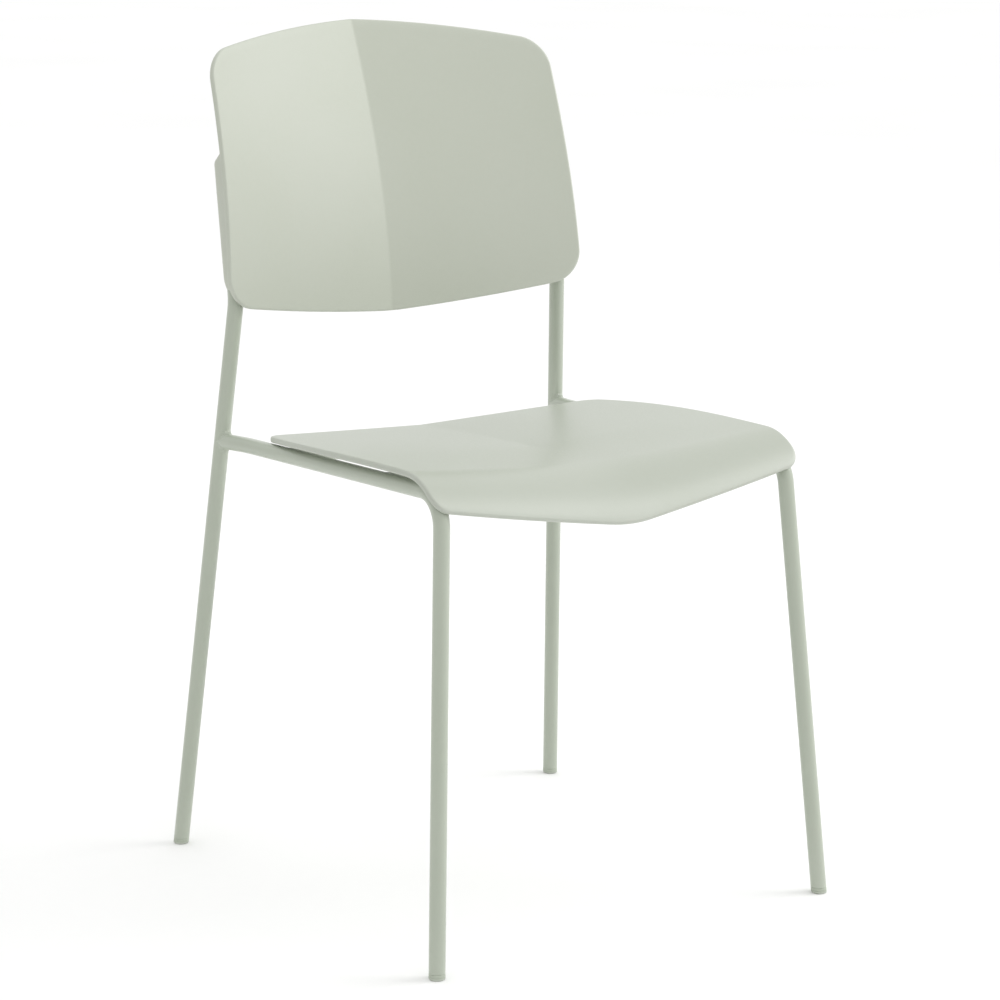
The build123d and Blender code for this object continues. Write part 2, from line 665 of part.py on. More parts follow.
def stacking_pad(y, side):
    """saddle clipped round the underside of a cross tube, with a flat foot for the chair below"""
    low, high = cross_height(y), rail_z(y)
    axis_z = low + (high - low) * PAD_X / RAIL_X
    start = Vector(side * (PAD_X - PAD_LENGTH / 2), y, axis_z - (high - low) * PAD_LENGTH / 2 / RAIL_X)
    end = Vector(side * (PAD_X + PAD_LENGTH / 2), y, axis_z + (high - low) * PAD_LENGTH / 2 / RAIL_X)
    outer = rod(start, end, CROSS_R + PAD_WALL)
    across_size = 2 * (CROSS_R + PAD_WALL)
    foot_length = PAD_LENGTH - 2 * PAD_END_STEP
    foot_width = across_size - 2 * PAD_SIDE_STEP
    foot = Pos(side * PAD_X, y, axis_z) * Box(
        foot_length, foot_width, CROSS_R + PAD_FOOT, align=(Align.CENTER, Align.CENTER, Align.MAX))
    mouth = Pos(side * PAD_X, y, axis_z + CROSS_R / 2) * Box(
        2 * PAD_LENGTH, 2 * across_size, 2 * across_size, align=(Align.CENTER, Align.CENTER, Align.MIN))
    run = (end - start).normalized() * PAD_LENGTH
    return outer + foot - rod(start - run, end + run, CROSS_R) - mouth


def build():
    """every node of the chair, laid out about the middle of its feet"""
    nodes = {}
    places = tab_places()
    for name, side in SIDES.items():
        leg = rear_leg(side)
        nodes[f"rear_leg_{name}"] = leg
        nodes[f"front_leg_{name}"] = front_leg(side, leg_bar(side))
        nodes[f"rail_weld_{name}"] = rail_weld(side)
    rails = Compound(children=[bent_rod(rail_route(side)[:3], RAIL_JOG_R, TUBE_R) for side in SIDES.values()])
    rows = {"front": FRONT_CROSS_Y, "rear": REAR_CROSS_Y}
    for row, y in rows.items():
        nodes[f"{row}_cross_tube"] = cross_tube(y, rails)
    nodes["cross_tube_welds"] = Compound(children=[
        cross_weld(y, side).solid() for y in rows.values() for side in SIDES.values()])
    for name, (place, y, side) in places.items():
        bar = bent_rod(cross_route(y), CROSS_BEND_R, CROSS_R)
        nodes[f"seat_tab_{name}"] = seat_tab(place, y) - bar
    spots = [place for place, _, _ in places.values()]
    nodes["seat_inserts"] = Compound(children=[seat_insert(place).solid() for place in spots])
    nodes["seat_washers"] = Compound(children=[seat_washer(place).solid() for place in spots])
    nodes["seat_screws"] = Compound(children=[seat_screw(place).solid() for place in spots])
    nodes["seat_shell"] = seat_shell()
    nodes["back_shell"] = back_shell()
    nodes["back_screws"] = Compound(children=[
        back_screw(place).solid() for side in SIDES.values() for place in back_screw_places(side)])
    nodes["rivet_nuts"] = Compound(children=[
        rivet_nut(place).solid() for side in SIDES.values() for place in rivet_nut_places(side)])
    for name, side in SIDES.items():
        nodes[f"foot_glide_front_{name}"] = foot_glide(front_leg_point, side)
        nodes[f"foot_glide_rear_{name}"] = foot_glide(rear_leg_point, side)
        for row, y in rows.items():
            nodes[f"stacking_pad_{row}_{name}"] = stacking_pad(y, side)
    return nodes


def write(nodes):
    """centre the chair over the origin and write one STEP for each node"""
    os.makedirs("parts", exist_ok=True)
    box = Compound(children=[Compound(node.solids()) for node in nodes.values()]).bounding_box()
    centre_y = (box.min.Y + box.max.Y) / 2
    for name, node in nodes.items():
        placed = Pos(0, -centre_y, 0) * Compound(node.solids())
        export_step(placed, f"parts/{name}.step")
    print("size", box.size, "moved", -centre_y)


write(build())
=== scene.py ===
import json
import math

import bmesh
import bpy
import numpy as np
from mathutils import Matrix, Vector


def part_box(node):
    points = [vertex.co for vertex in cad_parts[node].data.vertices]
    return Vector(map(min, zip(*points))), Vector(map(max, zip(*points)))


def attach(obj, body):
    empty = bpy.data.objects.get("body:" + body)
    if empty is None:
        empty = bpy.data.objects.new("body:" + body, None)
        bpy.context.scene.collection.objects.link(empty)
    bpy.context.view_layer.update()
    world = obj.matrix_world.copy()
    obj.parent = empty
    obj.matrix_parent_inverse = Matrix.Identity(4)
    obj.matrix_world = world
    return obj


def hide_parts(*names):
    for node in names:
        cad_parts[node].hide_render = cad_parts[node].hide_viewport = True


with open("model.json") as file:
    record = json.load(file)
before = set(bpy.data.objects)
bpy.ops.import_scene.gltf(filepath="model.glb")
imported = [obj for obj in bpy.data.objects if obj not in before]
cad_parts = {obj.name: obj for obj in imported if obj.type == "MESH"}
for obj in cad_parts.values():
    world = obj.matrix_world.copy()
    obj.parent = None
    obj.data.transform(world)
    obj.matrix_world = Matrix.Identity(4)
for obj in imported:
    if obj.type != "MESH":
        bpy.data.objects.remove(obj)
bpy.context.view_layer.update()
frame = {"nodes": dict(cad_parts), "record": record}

# Stacking chair: a moulded seat shell and a moulded back shell on a welded frame of round tube.
# Sizes are millimetres, laid out about the point on the floor midway between the four feet.  placed()
# turns them into metres in the frame's own place.  The sitter faces -Y; the right is the sitter's, at -X.
SIDES = {"right": -1, "left": 1}
REST_MOUNTS = [mount for mount in frame["record"]["mounts"] if mount["name"].startswith("rest_")]
FEET_MIDDLE_Y = sum(mount["pos_m"][1] for mount in REST_MOUNTS) / len(REST_MOUNTS)

# ---- frame sizes ----
TUBE_R = 8.0
REAR_FOOT_X = 238.5
FRONT_FOOT_INSET = 6.5
FRONT_FOOT_X = REAR_FOOT_X - FRONT_FOOT_INSET
FOOT_Y = 242.5
REAR_LEAN_IN = 0.068
REAR_LEAN_FORWARD = 0.0922
FRONT_LEAN_IN = 0.0648
FRONT_LEAN_BACK = 0.0949
RAIL_HEIGHT = 436.8
RAIL_RISE = 0.041
RAIL_JOG_Y = 158.0
RAIL_JOG_R = 90.0
FRONT_BEND_R = 34.0
UPRIGHT_BEND_Z = 582.0
UPRIGHT_BEND_R = 55.0
UPRIGHT_LEAN_IN = 0.05
UPRIGHT_LEAN_BACK = 0.25
UPRIGHT_TOP = 712.0
CROSS_R = 7.0
CROSS_BEND_R = 120.0
CROSS_CLEARANCE = 3.5
CROSS_ROWS = {"front": -96.0, "rear": 84.0}
GLIDE_HEAD = 6.0
RAIL_WELD = 4.6             # legs of the weld fillets
CROSS_WELD = 3.0

# ---- seat shell ----
SHELL_THICKNESS = 6.0
EDGE_ROUND = 2.1            # round on both rims of a shell's edge
SEAT_HEIGHT = 448.5
SEAT_SLOPE = 0.045
SEAT_SAG = 0.000135
SEAT_OVERHANG = 16.2        # the sides stand this far outside the rails' axes
SEAT_TAPER = 0.037
SEAT_SIDE_BOW = 0.00064
SEAT_FRONT_FLARE = 0.0000020
SEAT_FLARE_END = -191.0     # the sides run straight ahead of this
SEAT_DISH = 13.5
SEAT_DISH_GROWTH = 0.0132
SEAT_DISH_CURVE = 0.152
SEAT_REAR = 151.9
SEAT_REAR_SWEEP = 20.9
SEAT_REAR_BOW = 10.2
SEAT_REAR_CORNER = 15.0
SEAT_FRONT_CORNER = 15.0
ROLL_START = 147.0
ROLL_START_SWEEP = 10.1
ROLL_RADIUS = 88.5
ROLL_RADIUS_LOSS = 28.2
FRONT_EDGE_Z = 406.2
FRONT_EDGE_RISE = 28.2
FRONT_EDGE_BOW = 6.2
FRONT_NOSE = 24.0           # reach of the round at the middle of the front edge
CREASE_FADE_FROM = 40.0
CREASE_SOFTNESS = 0.30
CREASE_LEAST = 0.008        # even the sharp end of the crease has a small round

# ---- back shell ----
BACK_HEIGHT = 853.4
BACK_BOTTOM = 554.1
BACK_MIDDLE_Z = 700.0
BACK_SETBACK = 236.0
BACK_RECLINE = 0.288
BACK_RECLINE_CURVE = 0.00067
BACK_RECLINE_TWIST = 0.00000058
BACK_OVERHANG = 13.3        # the sides stand this far outside the uprights' axes
BACK_TAPER = 0.0438
BACK_SIDE_BOW = 0.000046
BACK_WING = 47.6
BACK_WING_GROWTH = 0.0602
BACK_WING_CURVE = 0.383
BACK_TOP_DROP = 7.4
BACK_TOP_BOW = 18.6
BACK_BOTTOM_RISE = 12.5
BACK_BOTTOM_BOW = 12.0
BACK_TOP_CORNER = 26.5
BACK_BOTTOM_CORNER = 31.0
BACK_CREASE_ROUND = 2.2
SOCKET_BOTTOM = UPRIGHT_BEND_Z + 12.0
SOCKET_TOP = UPRIGHT_TOP + 7.0
SOCKET_HALF_WIDTH = 10.1
SOCKET_DEPTH = 10.1         # rear face behind the tube's axis
SOCKET_CORNER = 9.6
SOCKET_FOOT = 3.2           # fillet where the socket grows out of the shell
SOCKET_ROOF_SLOPE = 0.78    # the top slopes up to the shell
SOCKET_ROOF_ROUND = 7.0
SOCKET_TAPER_LENGTH = 11.0  # the mouth narrows down to the tube
SOCKET_MOUTH_REAR = 0.4     # wall left at the mouth, behind the tube and beside it
SOCKET_MOUTH_SIDE = 0.6
SOCKET_ROOF_STEP = 2.2
SOCKET_FOOT_LAP = 0.8       # the foot runs on this far, and then dips into the shell
SOCKET_FOOT_DIP = 1.2
SCREW_PAD_R = 5.0
SCREW_PAD_FACE = 10.88      # its face behind the tube's axis, just under the screw's head
SCREW_STEP = 28.0           # back screws from the ends of the socket
SCREW_ROWS = {"lower": SOCKET_BOTTOM + SCREW_STEP, "upper": SOCKET_TOP - SCREW_STEP}

# ---- fixings under the seat ----
TAB_MARGIN = 12.0
BOSS_R = 9.0
BOSS_FOOT = 4.0
PAD_INBOARD = 140.8
PAD_LENGTH = 26.0
PAD_WALL = 2.6
PAD_FOOT = 4.0
PAD_EDGE = 0.8

ROUND_STEPS = 48            # points round a tube


# ---- small helpers ----
def placed(points):
    """millimetres about the middle of the feet, to metres in the frame's own place"""
    metres = np.array(points, float) * 0.001
    metres[:, 1] += FEET_MIDDLE_Y
    return metres


def unit(vectors):
    return vectors / np.linalg.norm(vectors, axis=-1, keepdims=True)


def softened(distance, reach):
    """size of a distance, with a round of that reach in place of the corner at zero"""
    size = np.abs(distance)
    return np.where(size < reach, (size * size + reach * reach) / (2.0 * reach), size)


def fillet_drop(x, half_width, radius):
    """how far a corner of that radius takes the edge back, near the side"""
    into = np.clip(np.abs(x) - (half_width - radius), 0.0, radius)
    return radius - np.sqrt(radius * radius - into * into)


def piece(name, points, faces, material, stands_for=(), sharp=35.0):
    """a mesh that rides on the chair, smooth but for edges sharper than that many degrees"""
    mesh = bpy.data.meshes.new(name)
    mesh.from_pydata(placed(points).tolist(), [], faces)
    work = bmesh.new()
    work.from_mesh(mesh)
    bmesh.ops.recalc_face_normals(work, faces=work.faces)
    work.to_mesh(mesh)
    work.free()
    mesh.polygons.foreach_set("use_smooth", [True] * len(mesh.polygons))
    mesh.set_sharp_from_angle(angle=math.radians(sharp))
    mesh.materials.append(material)
    body = bpy.data.objects.new(name, mesh)
    bpy.context.scene.collection.objects.link(body)
    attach(body, "root")
    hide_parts(*stands_for)
    return body


def ring_faces(rings, count, close=True):
    """quads between closed rings of count points, with the first and last ring filled"""
    faces = []
    for ring in range(rings - 1):
        for i in range(count):
            a, b = ring * count + i, ring * count + (i + 1) % count
            faces.append((a, b, b + count, a + count))
    if close:
        faces.append(tuple(reversed(range(count))))
        faces.append(tuple(range((rings - 1) * count, rings * count)))
    return faces


# ---- lines that several pieces share ----
def rear_leg_point(side, z):
    return np.array([side * (REAR_FOOT_X - REAR_LEAN_IN * z), FOOT_Y - REAR_LEAN_FORWARD * z, z])


def front_leg_point(side, z):
    return np.array([side * (FRONT_FOOT_X - FRONT_LEAN_IN * z), -FOOT_Y + FRONT_LEAN_BACK * z, z])


def upright_point(side, z):
    up = z - UPRIGHT_BEND_Z
    lean = np.array([-side * UPRIGHT_LEAN_IN, UPRIGHT_LEAN_BACK, 1.0])
    return rear_leg_point(side, UPRIGHT_BEND_Z) + lean * up


def rail_z(y):
    return RAIL_HEIGHT + RAIL_RISE * (rear_leg_point(1, RAIL_HEIGHT)[1] - y)


def rail_corners(side):
    """corners of the bent tube that is side rail and front leg in one"""
    start = rear_leg_point(side, RAIL_HEIGHT)
    bend_z = (RAIL_HEIGHT + RAIL_RISE * (start[1] + FOOT_Y)) / (1.0 + RAIL_RISE * FRONT_LEAN_BACK)
    bend = front_leg_point(side, bend_z)
    jog = np.array([bend[0], RAIL_JOG_Y, rail_z(RAIL_JOG_Y)])
    return [start, jog, bend, front_leg_point(side, GLIDE_HEAD)]


# widths that follow from where the legs are
RAIL_X = float(rail_corners(1)[2][0])
SEAT_HALF_WIDTH = RAIL_X + SEAT_OVERHANG
BACK_HALF_WIDTH = float(rear_leg_point(1, UPRIGHT_BEND_Z)[0]) + BACK_OVERHANG
PAD_X = RAIL_X - PAD_INBOARD


# ---- seat surface ----
def seat_across(x, y):
    """distance from the crease as a share of the half width; the crease softens towards the front"""
    ahead = np.clip((-y - CREASE_FADE_FROM) / (ROLL_START - CREASE_FADE_FROM), 0.0, 1.0)
    soft = np.maximum(CREASE_SOFTNESS * ahead * ahead * (3.0 - 2.0 * ahead), CREASE_LEAST)
    return (np.hypot(x / SEAT_HALF_WIDTH, soft) - soft) / (np.hypot(1.0, soft) - soft)


def seat_level(x, y):
    share = seat_across(x, y)
    rise = SEAT_DISH - SEAT_DISH_GROWTH * y
    profile = (1.0 - SEAT_DISH_CURVE) * share + SEAT_DISH_CURVE * share * share
    return SEAT_HEIGHT - SEAT_SLOPE * y - SEAT_SAG * y * y + rise * profile


def seat_roll(x):
    """where the front roll starts, its radius, and the level and slope that it starts from"""
    share = softened(x, FRONT_NOSE) / SEAT_HALF_WIDTH
    start = -ROLL_START - ROLL_START_SWEEP * share
    radius = ROLL_RADIUS - ROLL_RADIUS_LOSS * share
    level = seat_level(x, start)
    return start, radius, level, np.arctan(seat_level(x, start + 1.0) - level)


def seat_point(x, run):
    """mid surface of the seat.  run is y along the level, and length of arc once round the front roll"""
    start, radius, _, slope = seat_roll(x)
    y = np.maximum(run, start)
    turn = slope + np.maximum(start - run, 0.0) / radius
    ahead = radius * (np.sin(turn) - np.sin(slope))
    down = radius * (np.cos(slope) - np.cos(turn))
    return np.stack([x, y - ahead, seat_level(x, y) - down], axis=-1)


def seat_half_width(y):
    y = np.maximum(y, SEAT_FLARE_END)
    return SEAT_HALF_WIDTH - SEAT_TAPER * y - SEAT_SIDE_BOW * y ** 2 - SEAT_FRONT_FLARE * y ** 3


def seat_rear_run(x, y, inset):
    share = softened(x, FRONT_NOSE / 4) / SEAT_HALF_WIDTH
    edge = SEAT_REAR - SEAT_REAR_SWEEP * share - SEAT_REAR_BOW * share * share
    return edge - fillet_drop(x, seat_half_width(y) - inset, SEAT_REAR_CORNER - inset) - inset


def seat_front_run(x, y, inset):
    start, radius, level, slope = seat_roll(x)
    share = softened(x, FRONT_NOSE) / SEAT_HALF_WIDTH
    edge = FRONT_EDGE_Z + FRONT_EDGE_RISE * share + FRONT_EDGE_BOW * share * share
    edge = edge + fillet_drop(x, seat_half_width(y) - inset, SEAT_FRONT_CORNER - inset)
    turn = np.arccos(np.clip(np.cos(slope) - (level - edge) / radius, -1.0, 1.0))
    return start - (turn - slope) * radius + inset


def seat_sheet(shares, steps, inset):
    """grid of x and run over the seat, inset from its outline"""
    ends = []
    for end_run, y in ((seat_rear_run, SEAT_REAR), (seat_front_run, -FOOT_Y + ROLL_RADIUS_LOSS)):
        y = np.full(len(shares), y)
        for _ in range(8):
            x = shares * (seat_half_width(y) - inset)
            run = end_run(x, y, inset)
            y = seat_point(x, run)[:, 1]
        ends.append(run)
    along = np.linspace(0.0, 1.0, steps)[:, None]
    run = ends[0] + (ends[1] - ends[0]) * along
    y = run
    for _ in range(5):
        x = shares * (seat_half_width(y) - inset)
        y = seat_point(x, run)[..., 1]
    return x, run


# ---- back surface ----
def back_y(x, z):
    up = z - BACK_MIDDLE_Z
    share = (softened(x, BACK_CREASE_ROUND) - BACK_CREASE_ROUND / 2) / BACK_HALF_WIDTH
    crease = BACK_SETBACK + BACK_RECLINE * up + BACK_RECLINE_CURVE * up ** 2 - BACK_RECLINE_TWIST * up ** 3
    wing = BACK_WING + BACK_WING_GROWTH * up
    return crease - wing * ((1.0 - BACK_WING_CURVE) * share + BACK_WING_CURVE * share * share)


def back_point(x, z):
    return np.stack([x, back_y(x, z), z], axis=-1)


def back_half_width(z):
    up = z - BACK_MIDDLE_Z
    return BACK_HALF_WIDTH - BACK_TAPER * up + BACK_SIDE_BOW * up * up


def back_top(x, z, inset):
    share = softened(x, FRONT_NOSE / 4) / BACK_HALF_WIDTH
    edge = BACK_HEIGHT - BACK_TOP_DROP * share - BACK_TOP_BOW * share * share
    return edge - fillet_drop(x, back_half_width(z) - inset, BACK_TOP_CORNER - inset) - inset


def back_bottom(x, z, inset):
    share = softened(x, FRONT_NOSE / 2) / BACK_HALF_WIDTH
    edge = BACK_BOTTOM + BACK_BOTTOM_RISE * share + BACK_BOTTOM_BOW * share * share
    return edge + fillet_drop(x, back_half_width(z) - inset, BACK_BOTTOM_CORNER - inset) + inset


def back_sheet(shares, steps, inset):
    """grid of x and z over the back, inset from its outline"""
    ends = []
    for end_z, z in ((back_top, BACK_HEIGHT), (back_bottom, BACK_BOTTOM)):
        z = np.full(len(shares), z)
        for _ in range(8):
            z = end_z(shares * (back_half_width(z) - inset), z, inset)
        ends.append(z)
    along = np.linspace(0.0, 1.0, steps)[:, None]
    z = ends[0] + (ends[1] - ends[0]) * along
    return shares * (back_half_width(z) - inset), z


# ---- shells ----
def column_shares(half_width, corner, spacing=6.0, corner_steps=16):
    """columns from side to side: close at the crease, even in the middle, close round the corners"""
    near = np.array([0.0, 0.6, 1.2, 1.8, 2.4, 3.2, 4.4, 6.4, 9.2, 13.0])
    straight_end = half_width - corner
    even = np.linspace(near[-1], straight_end, int((straight_end - near[-1]) / spacing))[1:]
    turns = np.linspace(0.0, math.pi / 2, corner_steps + 1)[1:]
    half = np.concatenate([near, even, straight_end + corner * np.sin(turns)]) / half_width
    return np.concatenate([-half[:0:-1], half])


def shell(point_at, grid):
    """points and faces of a shell with rounded rims, from a grid over its mid surface"""
    u, v = grid
    step = 0.25
    middle = point_at(u, v)
    across = point_at(u + step, v) - point_at(u - step, v)
    along = point_at(u, v + step) - point_at(u, v - step)
    normal = unit(np.cross(across, along))
    rows, cols = u.shape
    index = np.arange(rows * cols).reshape(rows, cols)
    rim = np.concatenate([index[0, :-1], index[:-1, -1], index[-1, :0:-1], index[:0:-1, 0]])
    flat, flat_normal = middle.reshape(-1, 3), normal.reshape(-1, 3)
    edge, edge_normal = flat[rim], flat_normal[rim]
    out = unit(np.cross(np.roll(edge, -1, axis=0) - np.roll(edge, 1, axis=0), edge_normal))
    if np.sum(out * (edge - edge.mean(axis=0))) < 0:
        out = -out
    half = SHELL_THICKNESS / 2
    turns = np.linspace(0.0, math.pi / 2, 6)
    upper = [(EDGE_ROUND * math.sin(t), half - EDGE_ROUND + EDGE_ROUND * math.cos(t)) for t in turns]
    profile = upper[1:] + [(out_by, -up_by) for out_by, up_by in reversed(upper[1:])]
    points = [flat + flat_normal * half, flat - flat_normal * half]
    points += [edge + out * out_by + edge_normal * up_by for out_by, up_by in profile]
    total = rows * cols
    faces = []
    for r in range(rows - 1):
        for c in range(cols - 1):
            quad = (index[r, c], index[r, c + 1], index[r + 1, c + 1], index[r + 1, c])
            faces.append(tuple(int(i) for i in quad))
            faces.append(tuple(int(i) + total for i in reversed(quad)))
    edge_loops = [2 * total + len(rim) * k + np.arange(len(rim)) for k in range(len(profile))]
    loops = [rim] + edge_loops + [rim + total]
    for first, second in zip(loops[:-1], loops[1:]):
        for i in range(len(rim)):
            j = (i + 1) % len(rim)
            faces.append((int(first[i]), int(first[j]), int(second[j]), int(second[i])))
    return np.concatenate(points), faces


def make_seat_shell(material):
    shares = column_shares(SEAT_HALF_WIDTH, SEAT_FRONT_CORNER)
    points, faces = shell(seat_point, seat_sheet(shares, 84, EDGE_ROUND))
    piece("Seat_shell", points, faces, material, ["seat_shell"])


def make_back_shell(material):
    shares = column_shares(BACK_HALF_WIDTH, BACK_BOTTOM_CORNER)
    points, faces = shell(back_point, back_sheet(shares, 64, EDGE_ROUND))
    piece("Back_shell", points, faces, material, ["back_shell"])


# ---- sockets behind the back ----
def back_rear_y(x, z):
    """rear face of the back shell"""
    slope_x = (back_y(x + 1.0, z) - back_y(x - 1.0, z)) / 2.0
    slope_z = (back_y(x, z + 1.0) - back_y(x, z - 1.0)) / 2.0
    return back_y(x, z) + SHELL_THICKNESS / 2 * math.sqrt(1.0 + slope_x ** 2 + slope_z ** 2)


def socket_rear_line():
    """height and depth behind the tube's axis of the socket's rear face, from mouth to roof"""
    line = []
    for i in range(9):
        share = i / 8
        swell = (SOCKET_DEPTH - TUBE_R - SOCKET_MOUTH_REAR) * math.sin(share * math.pi / 2)
        line.append((SOCKET_BOTTOM + SOCKET_TAPER_LENGTH * share, TUBE_R + SOCKET_MOUTH_REAR + swell))
    roof_turn = math.atan2(1.0, SOCKET_ROOF_SLOPE)
    reach = SOCKET_ROOF_ROUND * math.tan(roof_turn / 2)
    for z in np.linspace(SOCKET_BOTTOM + SOCKET_TAPER_LENGTH, SOCKET_TOP - reach, 14)[1:-1]:
        line.append((float(z), SOCKET_DEPTH))
    for i in range(9):
        turn = roof_turn * i / 8
        line.append((SOCKET_TOP - reach + SOCKET_ROOF_ROUND * math.sin(turn),
                     SOCKET_DEPTH - SOCKET_ROOF_ROUND * (1.0 - math.cos(turn))))
    z, depth = line[-1]
    for _ in range(16):
        depth -= SOCKET_ROOF_STEP
        z += SOCKET_ROOF_STEP * SOCKET_ROOF_SLOPE
        line.append((z, depth))
    return line


def socket_section(side, z, depth):
    """the socket at one height: outer foot, round over its rear, inner foot"""
    axis = upright_point(side, z)
    taper = np.clip((z - SOCKET_BOTTOM) / SOCKET_TAPER_LENGTH, 0.0, 1.0)
    mouth = TUBE_R + SOCKET_MOUTH_SIDE
    half = mouth + (SOCKET_HALF_WIDTH - mouth) * math.sin(taper * math.pi / 2)
    rear_y = axis[1] + depth * math.hypot(1.0, UPRIGHT_LEAN_BACK)
    section = []
    for way in (side, -side):
        wall_x = axis[0] + way * half
        stand = max(rear_y - back_rear_y(wall_x, z), 0.0)
        corner = min(SOCKET_CORNER, stand * 0.8)
        foot = min(SOCKET_FOOT, stand * 0.2 + 0.05)
        foot_x = wall_x + way * (foot + SOCKET_FOOT_LAP)
        half_section = [np.array([foot_x, back_rear_y(foot_x, z) - SOCKET_FOOT_DIP])]
        for turn in np.linspace(0.0, math.pi / 2, 6):
            x = wall_x + way * foot * (1.0 - math.sin(turn))
            y = back_rear_y(x, z) + foot * (1.0 - math.cos(turn)) - 0.05
            half_section.append(np.array([x, y]))
        top_y = max(rear_y, back_rear_y(wall_x, z) - 0.6)
        for turn in np.linspace(0.0, math.pi / 2, 7):
            x = wall_x - way * corner * (1.0 - math.cos(turn))
            y = top_y - corner * (1.0 - math.sin(turn))
            half_section.append(np.array([x, y]))
        section.append(half_section)
    outline = section[0] + section[1][::-1]
    return [np.array([x, y, z]) for x, y in outline]


def make_back_socket(name, side, material):
    sections = [socket_section(side, z, depth) for z, depth in socket_rear_line()]
    count = len(sections[0])
    points = [point for section in sections for point in section]
    faces = ring_faces(len(sections), count)
    piece(f"Back_socket_{name}", points, faces, material, sharp=50.0)


def make_screw_pad(name, side, place, z, material):
    """flat round pad behind a socket for a screw's head, with a soft rim"""
    run = unit(upright_point(side, z + 1.0) - upright_point(side, z))
    across = unit(np.cross(np.array([0.0, 1.0, 0.0]), run))
    out = np.cross(run, across)
    if out[1] < 0:
        out = -out
    rim = 0.5
    profile = [(SOCKET_DEPTH - 4.0, SCREW_PAD_R), (SCREW_PAD_FACE - rim, SCREW_PAD_R)]
    for turn in np.linspace(0.0, math.pi / 2, 5)[1:]:
        depth = SCREW_PAD_FACE - rim + rim * math.sin(turn)
        profile.append((depth, SCREW_PAD_R - rim + rim * math.cos(turn)))
    angles = np.arange(ROUND_STEPS) * 2.0 * math.pi / ROUND_STEPS
    points = []
    for depth, radius in profile:
        centre = upright_point(side, z) + out * depth
        points += [centre + radius * (across * math.cos(a) + run * math.sin(a)) for a in angles]
    faces = ring_faces(len(profile), ROUND_STEPS)
    piece(f"Screw_pad_{place}_{name}", points, faces, material)


# ---- tubes ----
def bent_route(corners, radii, turn_step=4.0):
    """points along straight runs joined by tangent arcs"""
    points = [corners[0]]
    for before, corner, after, radius in zip(corners, corners[1:], corners[2:], radii):
        come = unit(corner - before)
        go = unit(after - corner)
        turn = math.acos(float(np.dot(come, go)))
        start = corner - come * radius * math.tan(turn / 2)
        inward = unit(go - come * math.cos(turn))
        steps = max(2, int(math.degrees(turn) / turn_step))
        for i in range(steps + 1):
            angle = turn * i / steps
            points.append(start + radius * (come * math.sin(angle) + inward * (1.0 - math.cos(angle))))
    points.append(corners[-1])
    return points


def long_runs_divided(points, longest=40.0):
    """the same route with its straight runs cut into lengths"""
    route = [points[0]]
    for before, after in zip(points, points[1:]):
        pieces = max(1, int(np.linalg.norm(after - before) / longest))
        for i in range(pieces):
            route.append(before + (after - before) * (i + 1) / pieces)
    return route


def swept_tube(route, radius, level_end=False, lip=0.5):
    """points and faces of a round tube; a level end is cut parallel to the floor, with its lip rounded"""
    route = long_runs_divided(route)
    tangents = [unit(b - a) for a, b in zip(route, route[1:])]
    tangents = [tangents[0]] + [unit(a + b) for a, b in zip(tangents, tangents[1:])] + [tangents[-1]]
    side = unit(np.cross(tangents[0], np.array([0.0, 0.0, 1.0]) if abs(tangents[0][2]) < 0.9
                         else np.array([1.0, 0.0, 0.0])))
    rings = []
    for centre, tangent in zip(route, tangents):
        side = unit(side - tangent * np.dot(side, tangent))
        up = np.cross(tangent, side)
        angles = np.arange(ROUND_STEPS) * 2.0 * math.pi / ROUND_STEPS
        rings.append([centre + radius * (side * math.cos(a) + up * math.sin(a)) for a in angles])
    if level_end:
        tangent, centre = tangents[-1], route[-1]
        lifted = [p + tangent * (centre[2] + lip - p[2]) / tangent[2] for p in rings[-1]]
        inner = [centre + (p - centre) * (1.0 - lip / radius) for p in rings[-1]]
        inner = [p + tangent * (centre[2] - p[2]) / tangent[2] for p in inner]
        rings = rings[:-1] + [lifted, inner]
    points = [p for ring in rings for p in ring]
    return points, ring_faces(len(rings), ROUND_STEPS)


def make_rear_leg(name, side, material):
    top = upright_point(side, UPRIGHT_TOP)
    bend = rear_leg_point(side, UPRIGHT_BEND_Z)
    corners = [top, bend, rear_leg_point(side, GLIDE_HEAD)]
    points, faces = swept_tube(bent_route(corners, [UPRIGHT_BEND_R]), TUBE_R, level_end=True)
    piece(f"Rear_leg_{name}", points, faces, material, [f"rear_leg_{name}"])


def make_front_leg(name, side, material):
    route = bent_route(rail_corners(side), [RAIL_JOG_R, FRONT_BEND_R])
    points, faces = swept_tube(route, TUBE_R, level_end=True)
    piece(f"Rail_and_front_leg_{name}", points, faces, material, [f"front_leg_{name}"])


def cross_low(y):
    return float(seat_level(0.0, y)) - SHELL_THICKNESS / 2 - CROSS_CLEARANCE - CROSS_R


def cross_corners(y):
    high = rail_z(y)
    return [np.array([RAIL_X, y, high]), np.array([0.0, y, cross_low(y)]), np.array([-RAIL_X, y, high])]


def make_cross_tube(row, y, material):
    points, faces = swept_tube(bent_route(cross_corners(y), [CROSS_BEND_R], 0.5), CROSS_R)
    piece(f"Cross_tube_{row}", points, faces, material, [f"{row}_cross_tube"])


